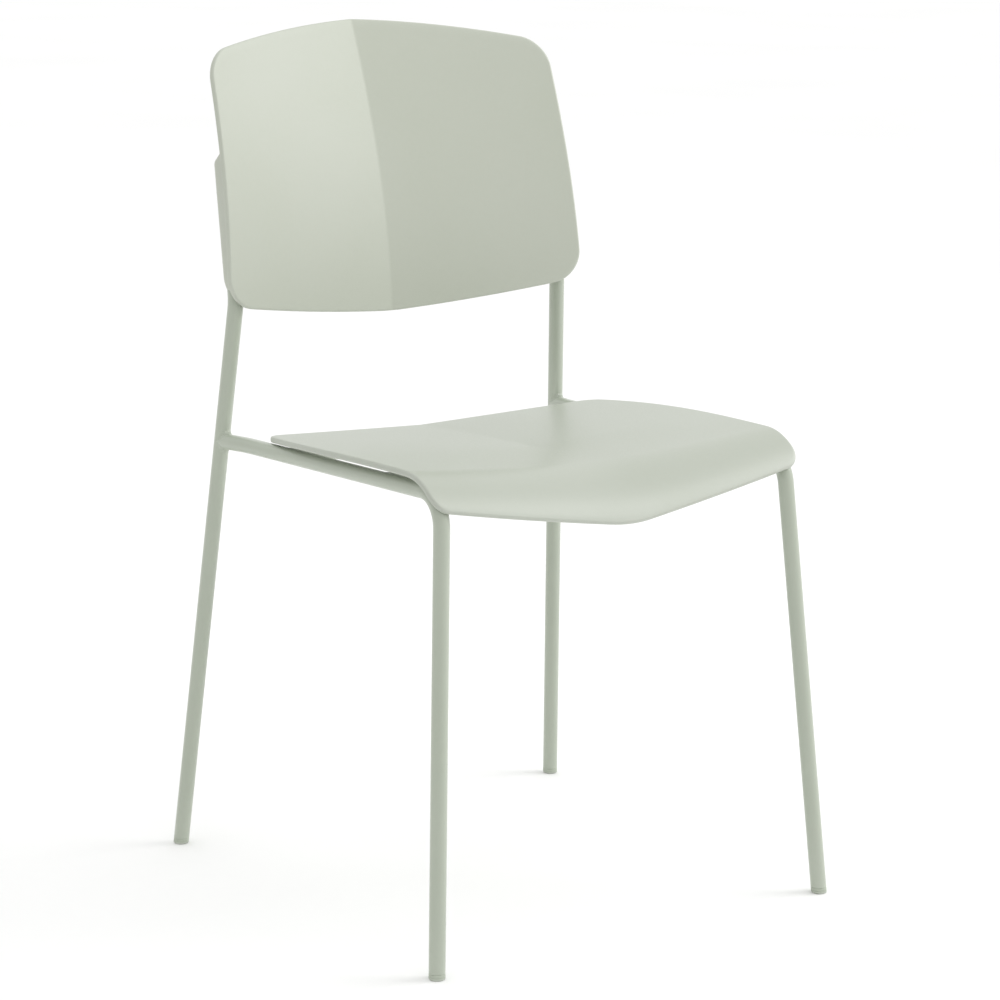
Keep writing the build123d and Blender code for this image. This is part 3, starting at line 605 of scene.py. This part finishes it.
# ---- welds ----
def weld_bead(start, run, radius, bar_point, bar_run, bar_radius, leg, ripples):
    """points and faces of the fillet round a tube of that radius where it meets a bar"""
    run, bar_run = unit(run), unit(bar_run)
    side = unit(np.cross(run, bar_run))
    up = np.cross(side, run)
    around = 96
    rings = []
    for i in range(around):
        angle = 2.0 * math.pi * i / around
        out = side * math.cos(angle) + up * math.sin(angle)
        base = start + out * radius
        gap = base - bar_point
        gap = gap - bar_run * np.dot(gap, bar_run)
        flow = run - bar_run * np.dot(run, bar_run)
        a, b, c = np.dot(flow, flow), 2.0 * np.dot(gap, flow), np.dot(gap, gap) - bar_radius ** 2
        meet = base + run * (-b + math.sqrt(max(b * b - 4.0 * a * c, 0.0))) / (2.0 * a)
        swell = 1.0 + 0.07 * math.sin(ripples * angle) + 0.06 * math.sin(3.0 * angle + 1.0)
        on_tube = meet + run * leg * swell - out * 0.08
        on_bar = meet + out * leg * swell
        foot = bar_point + bar_run * np.dot(on_bar - bar_point, bar_run)
        on_bar = foot + unit(on_bar - foot) * (bar_radius - 0.08)
        pull = meet * 0.62 + (on_tube + on_bar) * 0.19
        ring = []
        for t in np.linspace(0.0, 1.0, 9):
            point = on_tube * (1 - t) ** 2 + pull * 2 * t * (1 - t) + on_bar * t * t
            ring.append(point + (out + run) * 0.10 * math.sin(ripples * angle) * 4 * t * (1 - t))
        ring.append(meet - (out + run) * 1.0)
        rings.append(ring)
    count = len(rings[0])
    points = [p for ring in rings for p in ring]
    faces = []
    for i in range(around):
        for k in range(count):
            a, b = i * count + k, i * count + (k + 1) % count
            c, d = ((i + 1) % around) * count + (k + 1) % count, ((i + 1) % around) * count + k
            faces.append((a, b, c, d))
    return points, faces


def make_rail_weld(name, side, material):
    start, jog = rail_corners(side)[:2]
    bar_run = rear_leg_point(side, RAIL_HEIGHT + 1.0) - start
    points, faces = weld_bead(start, jog - start, TUBE_R, start, bar_run, TUBE_R, RAIL_WELD, 30)
    piece(f"Rail_weld_{name}", points, faces, material, [f"rail_weld_{name}"])


def make_cross_welds(material):
    """one bead at each end of both cross tubes"""
    all_points, all_faces = [], []
    rail_run = np.array([0.0, 1.0, -RAIL_RISE])
    for y in CROSS_ROWS.values():
        right_end, middle, left_end = cross_corners(y)
        for end in (right_end, left_end):
            points, faces = weld_bead(end, middle - end, CROSS_R, end, rail_run, TUBE_R, CROSS_WELD, 24)
            shift = len(all_points)
            all_points += points
            all_faces += [tuple(i + shift for i in face) for face in faces]
    piece("Cross_tube_welds", all_points, all_faces, material, ["cross_tube_welds"])


# ---- feet ----
def turned_profile(point_at, profile):
    """points and faces of level rings about a leg's axis, from (height, radius) pairs"""
    angles = np.arange(ROUND_STEPS) * 2.0 * math.pi / ROUND_STEPS
    points = []
    for z, radius in profile:
        centre = point_at(z)
        points += [centre + radius * np.array([math.cos(a), math.sin(a), 0.0]) for a in angles]
    return points, ring_faces(len(profile), ROUND_STEPS)


def make_glide(row, name, point_at, material):
    """plastic foot: a worn level sole, a rounded rim, a moulding groove and a shoulder under the tube"""
    rim = 1.3
    groove = TUBE_R - 0.28
    profile = [(0.0, TUBE_R - rim - 1.6), (0.0, TUBE_R - rim)]
    for i in range(1, 6):
        turn = math.pi / 2 * i / 5
        profile.append((rim - rim * math.cos(turn), TUBE_R - rim + rim * math.sin(turn)))
    profile += [(2.9, TUBE_R), (3.1, groove), (3.5, groove), (3.7, TUBE_R)]
    profile += [(GLIDE_HEAD - 0.5, TUBE_R), (GLIDE_HEAD - 0.15, TUBE_R - 0.3)]
    profile.append((GLIDE_HEAD + 0.3, TUBE_R - 0.7))
    points, faces = turned_profile(point_at, profile)
    node = f"foot_glide_{row}_{name}"
    piece(f"Foot_glide_{row}_{name}", points, faces, material, [node])


# ---- under the seat ----
def tab_hole(row, name):
    """middle of a seat tab's hole at its top face, from the tab's own box"""
    low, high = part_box(f"seat_tab_{row}_{name}")
    y = high.y * 1000 - TAB_MARGIN if row == "front" else low.y * 1000 + TAB_MARGIN
    return np.array([(low.x + high.x) * 500, y - FEET_MIDDLE_Y * 1000, high.z * 1000])


def make_seat_boss(row, name, material):
    """moulded boss that flares into the underside of the seat"""
    low = tab_hole(row, name)
    top = float(seat_level(low[0], low[1])) - SHELL_THICKNESS / 2
    profile = [(low[2] + 0.02, BOSS_R - 0.8), (low[2] + 0.8, BOSS_R), (top - BOSS_FOOT - 2.0, BOSS_R)]
    for i in range(6):
        turn = math.pi / 2 * i / 5
        z = top - BOSS_FOOT + BOSS_FOOT * math.sin(turn)
        profile.append((z, BOSS_R + BOSS_FOOT * (1 - math.cos(turn))))
    profile.append((top + 2.0, BOSS_R + BOSS_FOOT))
    points, faces = turned_profile(lambda z: np.array([low[0], low[1], z]), profile)
    piece(f"Seat_boss_{row}_{name}", points, faces, material)


def pad_outline(inset):
    """section of a stacking pad across its tube, as (across, up) from the tube's axis"""
    outer = CROSS_R + PAD_WALL - inset
    mouth = math.asin(CROSS_R / 2 / outer)
    foot_half = CROSS_R + PAD_WALL - 2.0 - inset
    leave = math.acos(foot_half / outer)
    foot_z = -(CROSS_R + PAD_FOOT) + inset
    corner = 1.4
    right = [(outer * math.cos(a), outer * math.sin(a)) for a in np.linspace(mouth, -leave, 8)]
    for turn in np.linspace(0.0, math.pi / 2, 5):
        foot_across = foot_half - corner + corner * math.cos(turn)
        right.append((foot_across, foot_z + corner - corner * math.sin(turn)))
    left = [(-across, up) for across, up in reversed(right)]
    inner = CROSS_R + 0.02
    inner_mouth = math.asin(CROSS_R / 2 / inner)
    bore = [(inner * math.cos(a), inner * math.sin(a))
            for a in np.linspace(-math.pi - inner_mouth, inner_mouth, 24)]
    return right + left + bore


def make_stacking_pad(row, name, y, side, material):
    run = unit(cross_corners(y)[0 if side > 0 else 2] - cross_corners(y)[1])
    centre = cross_corners(y)[1] + run * PAD_X / abs(run[0])
    across = np.array([0.0, 1.0, 0.0])
    up = np.cross(run, across) * (1 if np.cross(run, across)[2] > 0 else -1)
    half = PAD_LENGTH / 2
    sections = []
    ends = ((-half, PAD_EDGE), (-half + PAD_EDGE, 0.0), (half - PAD_EDGE, 0.0), (half, PAD_EDGE))
    for along, inset in ends:
        for a, u in pad_outline(inset):
            sections.append(centre + run * along + across * a + up * u)
    count = len(sections) // 4
    node = f"stacking_pad_{row}_{name}"
    piece(f"Stacking_pad_{row}_{name}", sections, ring_faces(4, count), material, [node])


def finish_node(node, material, bevel):
    """a machined part keeps its shape and gets a finish, with its edges broken"""
    body = frame["nodes"][node]
    body.data.materials.clear()
    body.data.materials.append(material)
    weld = body.modifiers.new("Weld", "WELD")
    weld.merge_threshold = 0.00001
    edge = body.modifiers.new("Broken_edges", "BEVEL")
    edge.width = bevel * 0.001
    edge.segments = 2
    edge.limit_method = "ANGLE"
    edge.angle_limit = math.radians(40)


# ---- shader groups ----
def new_group(name, inputs, outputs):
    """a node group with named sockets, each input with its usual value"""
    tree = bpy.data.node_groups.new(name, "ShaderNodeTree")
    for label, kind, value in inputs:
        socket = tree.interface.new_socket(label, in_out="INPUT", socket_type=kind)
        socket.default_value = value
    for label, kind in outputs:
        tree.interface.new_socket(label, in_out="OUTPUT", socket_type=kind)
    return tree, tree.nodes.new("NodeGroupInput").outputs, tree.nodes.new("NodeGroupOutput").inputs


def node(tree, kind, links=None, **settings):
    """a shader node with its settings, and links or values for its inputs"""
    made = tree.nodes.new(kind)
    for key, value in settings.items():
        setattr(made, key, value)
    for key, value in (links or {}).items():
        if isinstance(value, bpy.types.NodeSocket):
            tree.links.new(value, made.inputs[key])
        else:
            made.inputs[key].default_value = value
    return made


def math_of(tree, operation, first, second, third=None):
    links = {0: first, 1: second}
    if third is not None:
        links[2] = third
    return node(tree, "ShaderNodeMath", links, operation=operation).outputs[0]


def noise(tree, scale, detail, roughness, stretch=(1.0, 1.0, 1.0), distortion=0.0):
    """noise in the object's own space, scale in features per metre"""
    place = node(tree, "ShaderNodeTexCoord").outputs["Object"]
    fitted = node(tree, "ShaderNodeMapping", {"Vector": place, "Scale": stretch}).outputs["Vector"]
    links = {"Vector": fitted, "Scale": scale, "Detail": detail, "Roughness": roughness}
    links["Distortion"] = distortion
    return node(tree, "ShaderNodeTexNoise", links).outputs["Fac"]


def ranged(tree, value, low, high, to_low=0.0, to_high=1.0):
    links = {"Value": value, "From Min": low, "From Max": high, "To Min": to_low, "To Max": to_high}
    return node(tree, "ShaderNodeMapRange", links, clamp=True).outputs["Result"]


def tone_drift_group():
    """colour that drifts slowly between two close shades, with a finer mottle"""
    tree, given, out = new_group(
        "Tone drift",
        [("Shade", "NodeSocketColor", (0.5, 0.5, 0.5, 1)),
         ("Other Shade", "NodeSocketColor", (0.5, 0.5, 0.5, 1)),
         ("Drift Scale", "NodeSocketFloat", 6.0), ("Mottle Scale", "NodeSocketFloat", 160.0),
         ("Mottle", "NodeSocketFloat", 0.3)],
        [("Color", "NodeSocketColor")])
    slow = ranged(tree, noise(tree, given["Drift Scale"], 2.0, 0.5), 0.32, 0.68)
    fine = ranged(tree, noise(tree, given["Mottle Scale"], 4.0, 0.6), 0.3, 0.7)
    share = math_of(tree, "MULTIPLY_ADD", math_of(tree, "SUBTRACT", fine, 0.5), given["Mottle"], slow)
    mix = node(tree, "ShaderNodeMix", {"Factor": share, "A": given["Shade"], "B": given["Other Shade"]},
               data_type="RGBA", clamp_factor=True)
    tree.links.new(mix.outputs["Result"], out["Color"])
    return tree


def moulded_grain_group():
    """spark-eroded mould texture: rounded pips over a finer tooth"""
    tree, given, out = new_group(
        "Moulded grain",
        [("Pips Per Metre", "NodeSocketFloat", 900.0), ("Tooth", "NodeSocketFloat", 0.4)],
        [("Height", "NodeSocketFloat"), ("Glint", "NodeSocketFloat")])
    coarse = noise(tree, given["Pips Per Metre"], 2.0, 0.55)
    tooth = noise(tree, math_of(tree, "MULTIPLY", given["Pips Per Metre"], 2.7), 2.0, 0.6)
    height = math_of(tree, "MULTIPLY_ADD", tooth, given["Tooth"], coarse)
    tree.links.new(height, out["Height"])
    tree.links.new(ranged(tree, coarse, 0.35, 0.65), out["Glint"])
    return tree


def powder_peel_group():
    """the slow ripple of cured powder, with fine pinpricks"""
    tree, given, out = new_group(
        "Powder peel",
        [("Ripples Per Metre", "NodeSocketFloat", 420.0), ("Pinpricks", "NodeSocketFloat", 0.25)],
        [("Height", "NodeSocketFloat"), ("Flow", "NodeSocketFloat")])
    flow = noise(tree, given["Ripples Per Metre"], 1.0, 0.4, distortion=0.3)
    prick = noise(tree, math_of(tree, "MULTIPLY", given["Ripples Per Metre"], 5.0), 1.0, 0.5)
    tree.links.new(math_of(tree, "MULTIPLY_ADD", prick, given["Pinpricks"], flow), out["Height"])
    tree.links.new(ranged(tree, flow, 0.3, 0.7), out["Flow"])
    return tree


def edge_rub_and_highlight_group():
    """where edges stand proud and hands or the next chair keep rubbing them, broken up by noise; the same
    mask paints a highlight on the rims
    """
    tree, given, out = new_group(
        "Edge rub and painted highlight",
        [("Sharpness", "NodeSocketFloat", 0.06), ("Breakup Scale", "NodeSocketFloat", 120.0),
         ("Amount", "NodeSocketFloat", 0.5)],
        [("Mask", "NodeSocketFloat")])
    point = node(tree, "ShaderNodeNewGeometry").outputs["Pointiness"]
    proud = ranged(tree, point, 0.5, math_of(tree, "ADD", 0.5, given["Sharpness"]))
    broken = ranged(tree, noise(tree, given["Breakup Scale"], 4.0, 0.6), 0.25, 0.6, 0.55, 1.0)
    rubbed = math_of(tree, "MULTIPLY", proud, broken)
    tree.links.new(math_of(tree, "MULTIPLY", rubbed, given["Amount"]), out["Mask"])
    return tree


def faint_scuffs_group():
    """hairline scuffs, in patches"""
    tree, given, out = new_group(
        "Faint scuffs",
        [("Lines Per Metre", "NodeSocketFloat", 30.0), ("Patch Scale", "NodeSocketFloat", 9.0),
         ("Amount", "NodeSocketFloat", 0.5)],
        [("Mask", "NodeSocketFloat")])
    hair = noise(tree, given["Lines Per Metre"], 3.0, 0.6, stretch=(28.0, 1.2, 4.0), distortion=0.4)
    line = ranged(tree, hair, 0.62, 0.70)
    patch = ranged(tree, noise(tree, given["Patch Scale"], 3.0, 0.6), 0.52, 0.68)
    scuffed = math_of(tree, "MULTIPLY", line, patch)
    tree.links.new(math_of(tree, "MULTIPLY", scuffed, given["Amount"]), out["Mask"])
    return tree


GROUPS = {
    "tone": tone_drift_group(),
    "grain": moulded_grain_group(),
    "peel": powder_peel_group(),
    "rub_and_highlight": edge_rub_and_highlight_group(),
    "scuff": faint_scuffs_group(),
}


# ---- finishes ----
def new_finish(name):
    material = bpy.data.materials.new(name)
    material.use_nodes = True
    return material, material.node_tree, material.node_tree.nodes["Principled BSDF"]


def placed_group(tree, key, links):
    made = tree.nodes.new("ShaderNodeGroup")
    made.node_tree = GROUPS[key]
    for label, value in links.items():
        if isinstance(value, bpy.types.NodeSocket):
            tree.links.new(value, made.inputs[label])
        else:
            made.inputs[label].default_value = value
    return made.outputs


def mixed_color(tree, share, first, second):
    mix = node(tree, "ShaderNodeMix", {"Factor": share, "A": first, "B": second}, data_type="RGBA")
    return mix.outputs["Result"]


def bumped(tree, height, distance_mm, strength=1.0, below=None):
    links = {"Height": height, "Distance": distance_mm * 0.001, "Strength": strength}
    if below is not None:
        links["Normal"] = below
    return node(tree, "ShaderNodeBump", links).outputs["Normal"]


def moulded_plastic(name, shade, other_shade, rim_wear_and_highlight_shade, grain_depth, roughness, sheen):
    """grained polypropylene: drifting tone, pale rims that are partly rubbed wear and partly a painted
    highlight, hairline scuffs that shine a little
    """
    material, tree, shader = new_finish(name)
    tone = placed_group(tree, "tone", {"Shade": shade, "Other Shade": other_shade, "Drift Scale": 5.0,
                                       "Mottle Scale": 210.0, "Mottle": 0.35})["Color"]
    rub_and_highlight = placed_group(tree, "rub_and_highlight", {"Sharpness": 0.05, "Breakup Scale": 90.0, "Amount": 0.55})["Mask"]
    scuff = placed_group(tree, "scuff", {"Lines Per Metre": 26.0, "Patch Scale": 8.0, "Amount": 0.5})["Mask"]
    grain = placed_group(tree, "grain", {"Pips Per Metre": 850.0, "Tooth": 0.45})
    # the rims are painted lighter: partly rubbed wear, partly a painted highlight along the edges
    tree.links.new(mixed_color(tree, rub_and_highlight, tone, rim_wear_and_highlight_shade), shader.inputs["Base Color"])
    rough = ranged(tree, grain["Glint"], 0.0, 1.0, roughness + 0.05, roughness - 0.05)
    rough = math_of(tree, "MULTIPLY_ADD", scuff, -0.10, rough)
    rough = math_of(tree, "MULTIPLY_ADD", rub_and_highlight, -0.06, rough)
    tree.links.new(rough, shader.inputs["Roughness"])
    tree.links.new(bumped(tree, grain["Height"], grain_depth), shader.inputs["Normal"])
    shader.inputs["IOR"].default_value = 1.49
    shader.inputs["Specular IOR Level"].default_value = sheen
    return material


def powder_coat(name, shade, other_shade, roughness, ripple):
    """satin powder coat on steel"""
    material, tree, shader = new_finish(name)
    tone = placed_group(tree, "tone", {"Shade": shade, "Other Shade": other_shade, "Drift Scale": 9.0,
                                       "Mottle Scale": 300.0, "Mottle": 0.3})["Color"]
    peel = placed_group(tree, "peel", {"Ripples Per Metre": 420.0, "Pinpricks": 0.3})
    rub_and_highlight = placed_group(tree, "rub_and_highlight", {"Sharpness": 0.12, "Breakup Scale": 200.0, "Amount": 0.3})["Mask"]
    # lighter colour on proud edges: partly rubbed wear, partly a painted highlight
    tree.links.new(mixed_color(tree, rub_and_highlight, tone, (0.60, 0.64, 0.56, 1.0)), shader.inputs["Base Color"])
    rough = ranged(tree, peel["Flow"], 0.0, 1.0, roughness - 0.04, roughness + 0.04)
    tree.links.new(rough, shader.inputs["Roughness"])
    tree.links.new(bumped(tree, peel["Height"], ripple), shader.inputs["Normal"])
    shader.inputs["IOR"].default_value = 1.5
    shader.inputs["Coat Weight"].default_value = 0.4
    shader.inputs["Coat Roughness"].default_value = 0.18
    return material


def foot_plastic(name, shade, other_shade, worn_shade):
    """hard plastic that is scraped and dusty towards the floor"""
    material, tree, shader = new_finish(name)
    tone = placed_group(tree, "tone", {"Shade": shade, "Other Shade": other_shade, "Drift Scale": 30.0,
                                       "Mottle Scale": 500.0, "Mottle": 0.4})["Color"]
    place = node(tree, "ShaderNodeTexCoord").outputs["Object"]
    height = node(tree, "ShaderNodeSeparateXYZ", {"Vector": place}).outputs["Z"]
    low = ranged(tree, height, 0.0, 0.0025, 1.0, 0.0)
    scrape = ranged(tree, noise(tree, 700.0, 3.0, 0.7, stretch=(1.0, 1.0, 6.0)), 0.42, 0.6)
    worn = math_of(tree, "MULTIPLY", low, scrape)
    tree.links.new(mixed_color(tree, worn, tone, worn_shade), shader.inputs["Base Color"])
    tree.links.new(ranged(tree, worn, 0.0, 1.0, 0.46, 0.7), shader.inputs["Roughness"])
    grain = placed_group(tree, "grain", {"Pips Per Metre": 1600.0, "Tooth": 0.4})
    rough_height = math_of(tree, "MULTIPLY_ADD", worn, -1.5, grain["Height"])
    tree.links.new(bumped(tree, rough_height, 0.03), shader.inputs["Normal"])
    return material


def plated_metal(name, shade, other_shade, roughness, turning):
    """plated or turned metal with fine lathe lines"""
    material, tree, shader = new_finish(name)
    tone = placed_group(tree, "tone", {"Shade": shade, "Other Shade": other_shade, "Drift Scale": 80.0,
                                       "Mottle Scale": 900.0, "Mottle": 0.3})["Color"]
    tree.links.new(tone, shader.inputs["Base Color"])
    shader.inputs["Metallic"].default_value = 1.0
    lines = noise(tree, turning, 2.0, 0.6, stretch=(1.0, 1.0, 12.0))
    rough = ranged(tree, lines, 0.3, 0.7, roughness - 0.06, roughness + 0.08)
    tree.links.new(rough, shader.inputs["Roughness"])
    tree.links.new(bumped(tree, lines, 0.01), shader.inputs["Normal"])
    return material


# ---- the chair ----
# the seat and back shells are one sage plastic: the seat's copy has a darker base colour (painted shade) and
# the back's a lighter one (painted light), set to how the light falls on each
seat_plastic_painted_shade = moulded_plastic("Moulded seat plastic with painted shade", (0.392, 0.422, 0.354, 1), (0.409, 0.438, 0.374, 1),
                               (0.56, 0.58, 0.53, 1), 0.05, 0.36, 0.70)
back_plastic_painted_light = moulded_plastic("Moulded back plastic with painted light", (0.455, 0.482, 0.406, 1), (0.473, 0.498, 0.427, 1),
                               (0.58, 0.61, 0.54, 1), 0.05, 0.46, 0.55)
tube_coat = powder_coat("Satin powder coat", (0.396, 0.436, 0.356, 1), (0.411, 0.449, 0.371, 1), 0.34, 0.035)
weld_coat = powder_coat("Powder coat over weld", (0.385, 0.424, 0.345, 1), (0.42, 0.458, 0.378, 1),
                        0.26, 0.10)
# the glide's own grey-green is close to the tube coat; its shades are lifted a little above that, painted
# light against the floor's shadow on the feet
glide_plastic_painted_light = foot_plastic("Foot glide plastic with painted light", (0.42, 0.46, 0.38, 1), (0.44, 0.48, 0.40, 1),
                             (0.60, 0.60, 0.58, 1))
pad_plastic = foot_plastic("Stacking pad plastic", (0.55, 0.57, 0.52, 1), (0.60, 0.61, 0.57, 1),
                           (0.50, 0.50, 0.47, 1))
zinc_plate = plated_metal("Zinc plated steel", (0.62, 0.64, 0.66, 1), (0.70, 0.70, 0.66, 1), 0.32, 1500.0)
insert_brass = plated_metal("Turned brass", (0.72, 0.56, 0.28, 1), (0.66, 0.49, 0.24, 1), 0.30, 1800.0)

make_seat_shell(seat_plastic_painted_shade)
make_back_shell(back_plastic_painted_light)
make_cross_welds(weld_coat)
for row, y in CROSS_ROWS.items():
    make_cross_tube(row, y, tube_coat)
for name, side in SIDES.items():
    make_back_socket(name, side, back_plastic_painted_light)
    for place, z in SCREW_ROWS.items():
        make_screw_pad(name, side, place, z, back_plastic_painted_light)
    make_rear_leg(name, side, tube_coat)
    make_front_leg(name, side, tube_coat)
    make_rail_weld(name, side, weld_coat)
    make_glide("rear", name, lambda z, side=side: rear_leg_point(side, z), glide_plastic_painted_light)
    make_glide("front", name, lambda z, side=side: front_leg_point(side, z), glide_plastic_painted_light)
    for row, y in CROSS_ROWS.items():
        make_seat_boss(row, name, seat_plastic_painted_shade)
        make_stacking_pad(row, name, y, side, pad_plastic)
        finish_node(f"seat_tab_{row}_{name}", tube_coat, 0.4)
for name in ("seat_screws", "seat_washers", "back_screws", "rivet_nuts"):
    finish_node(name, zinc_plate, 0.15)
finish_node("seat_inserts", insert_brass, 0.15)


# ---- floor, light and camera ----
FLOOR_REACH = 14.0
CAMERA_AZIMUTH = -34.398
CAMERA_ELEVATION = 12.247
CAMERA_ROLL = 0.71
CAMERA_DISTANCE = 3220.2
CAMERA_TARGET = (-33.64, -48.38, 401.14)
LENS_MM = 116.62
SHIFT = 0.0005              # small sideways and upward shift of the lens
BRIGHT_SIDE = (0.45, 0.15, 0.88)    # the room is brightest this way, nearly overhead
BRIGHT_STRENGTH = 1.20
DIM_STRENGTH = 0.57


def make_floor():
    """a plain pale floor with a barely mottled matt surface"""
    material, tree, shader = new_finish("Pale floor")
    tone = placed_group(tree, "tone", {"Shade": (0.92, 0.92, 0.916, 1), "Other Shade": (0.94, 0.94, 0.936, 1),
                                       "Drift Scale": 1.2, "Mottle Scale": 60.0, "Mottle": 0.2})["Color"]
    tree.links.new(tone, shader.inputs["Base Color"])
    shader.inputs["Roughness"].default_value = 0.9
    shader.inputs["Specular IOR Level"].default_value = 0.1
    mesh = bpy.data.meshes.new("Floor")
    reach = FLOOR_REACH
    corners = [(-reach, -reach, 0.0), (reach, -reach, 0.0), (reach, reach, 0.0), (-reach, reach, 0.0)]
    mesh.from_pydata(corners, [], [(0, 1, 2, 3)])
    mesh.materials.append(material)
    floor = bpy.data.objects.new("Floor", mesh)
    bpy.context.scene.collection.objects.link(floor)


def make_soft_light(name, place, aim, size, power):
    data = bpy.data.lights.new(name, "AREA")
    data.shape = "RECTANGLE"
    data.size, data.size_y = size
    data.energy = power
    light = bpy.data.objects.new(name, data)
    light.location = place
    light.rotation_euler = (Vector(aim) - Vector(place)).to_track_quat("-Z", "Y").to_euler()
    bpy.context.scene.collection.objects.link(light)


def make_studio():
    world = bpy.data.worlds.new("Studio")
    world.use_nodes = True
    tree = world.node_tree
    background = tree.nodes["Background"]
    background.inputs["Color"].default_value = (1.0, 1.0, 1.0, 1.0)
    direction = node(tree, "ShaderNodeTexCoord").outputs["Generated"]
    towards = node(tree, "ShaderNodeVectorMath", {0: direction, 1: BRIGHT_SIDE}, operation="DOT_PRODUCT")
    strength = ranged(tree, towards.outputs["Value"], -0.5, 0.8, DIM_STRENGTH, BRIGHT_STRENGTH)
    tree.links.new(strength, background.inputs["Strength"])
    bpy.context.scene.world = world
    bpy.context.scene.view_settings.view_transform = "Standard"
    make_soft_light("Key_softbox", (2.3, -1.1, 2.1), (0.0, 0.0, 0.5), (1.5, 1.5), 31.0)


def make_camera():
    azimuth, elevation, roll = (math.radians(v) for v in (CAMERA_AZIMUTH, CAMERA_ELEVATION, CAMERA_ROLL))
    back = np.array([math.sin(azimuth) * math.cos(elevation), -math.cos(azimuth) * math.cos(elevation),
                     math.sin(elevation)])
    level = np.array([math.cos(azimuth), math.sin(azimuth), 0.0])
    lift = np.cross(back, level)
    right = math.cos(roll) * level + math.sin(roll) * lift
    up = -math.sin(roll) * level + math.cos(roll) * lift
    place = placed([np.array(CAMERA_TARGET) + back * CAMERA_DISTANCE])[0]
    data = bpy.data.cameras.new("Camera")
    data.sensor_width = 36.0
    data.lens = LENS_MM
    data.shift_x = -SHIFT
    data.shift_y = SHIFT
    camera = bpy.data.objects.new("Camera", data)
    turned = Matrix((right, up, back)).transposed().to_4x4()
    camera.matrix_world = Matrix.Translation(Vector(place)) @ turned
    bpy.context.scene.collection.objects.link(camera)
    bpy.context.scene.camera = camera


make_floor()
make_studio()
make_camera()

bpy.context.view_layer.update()
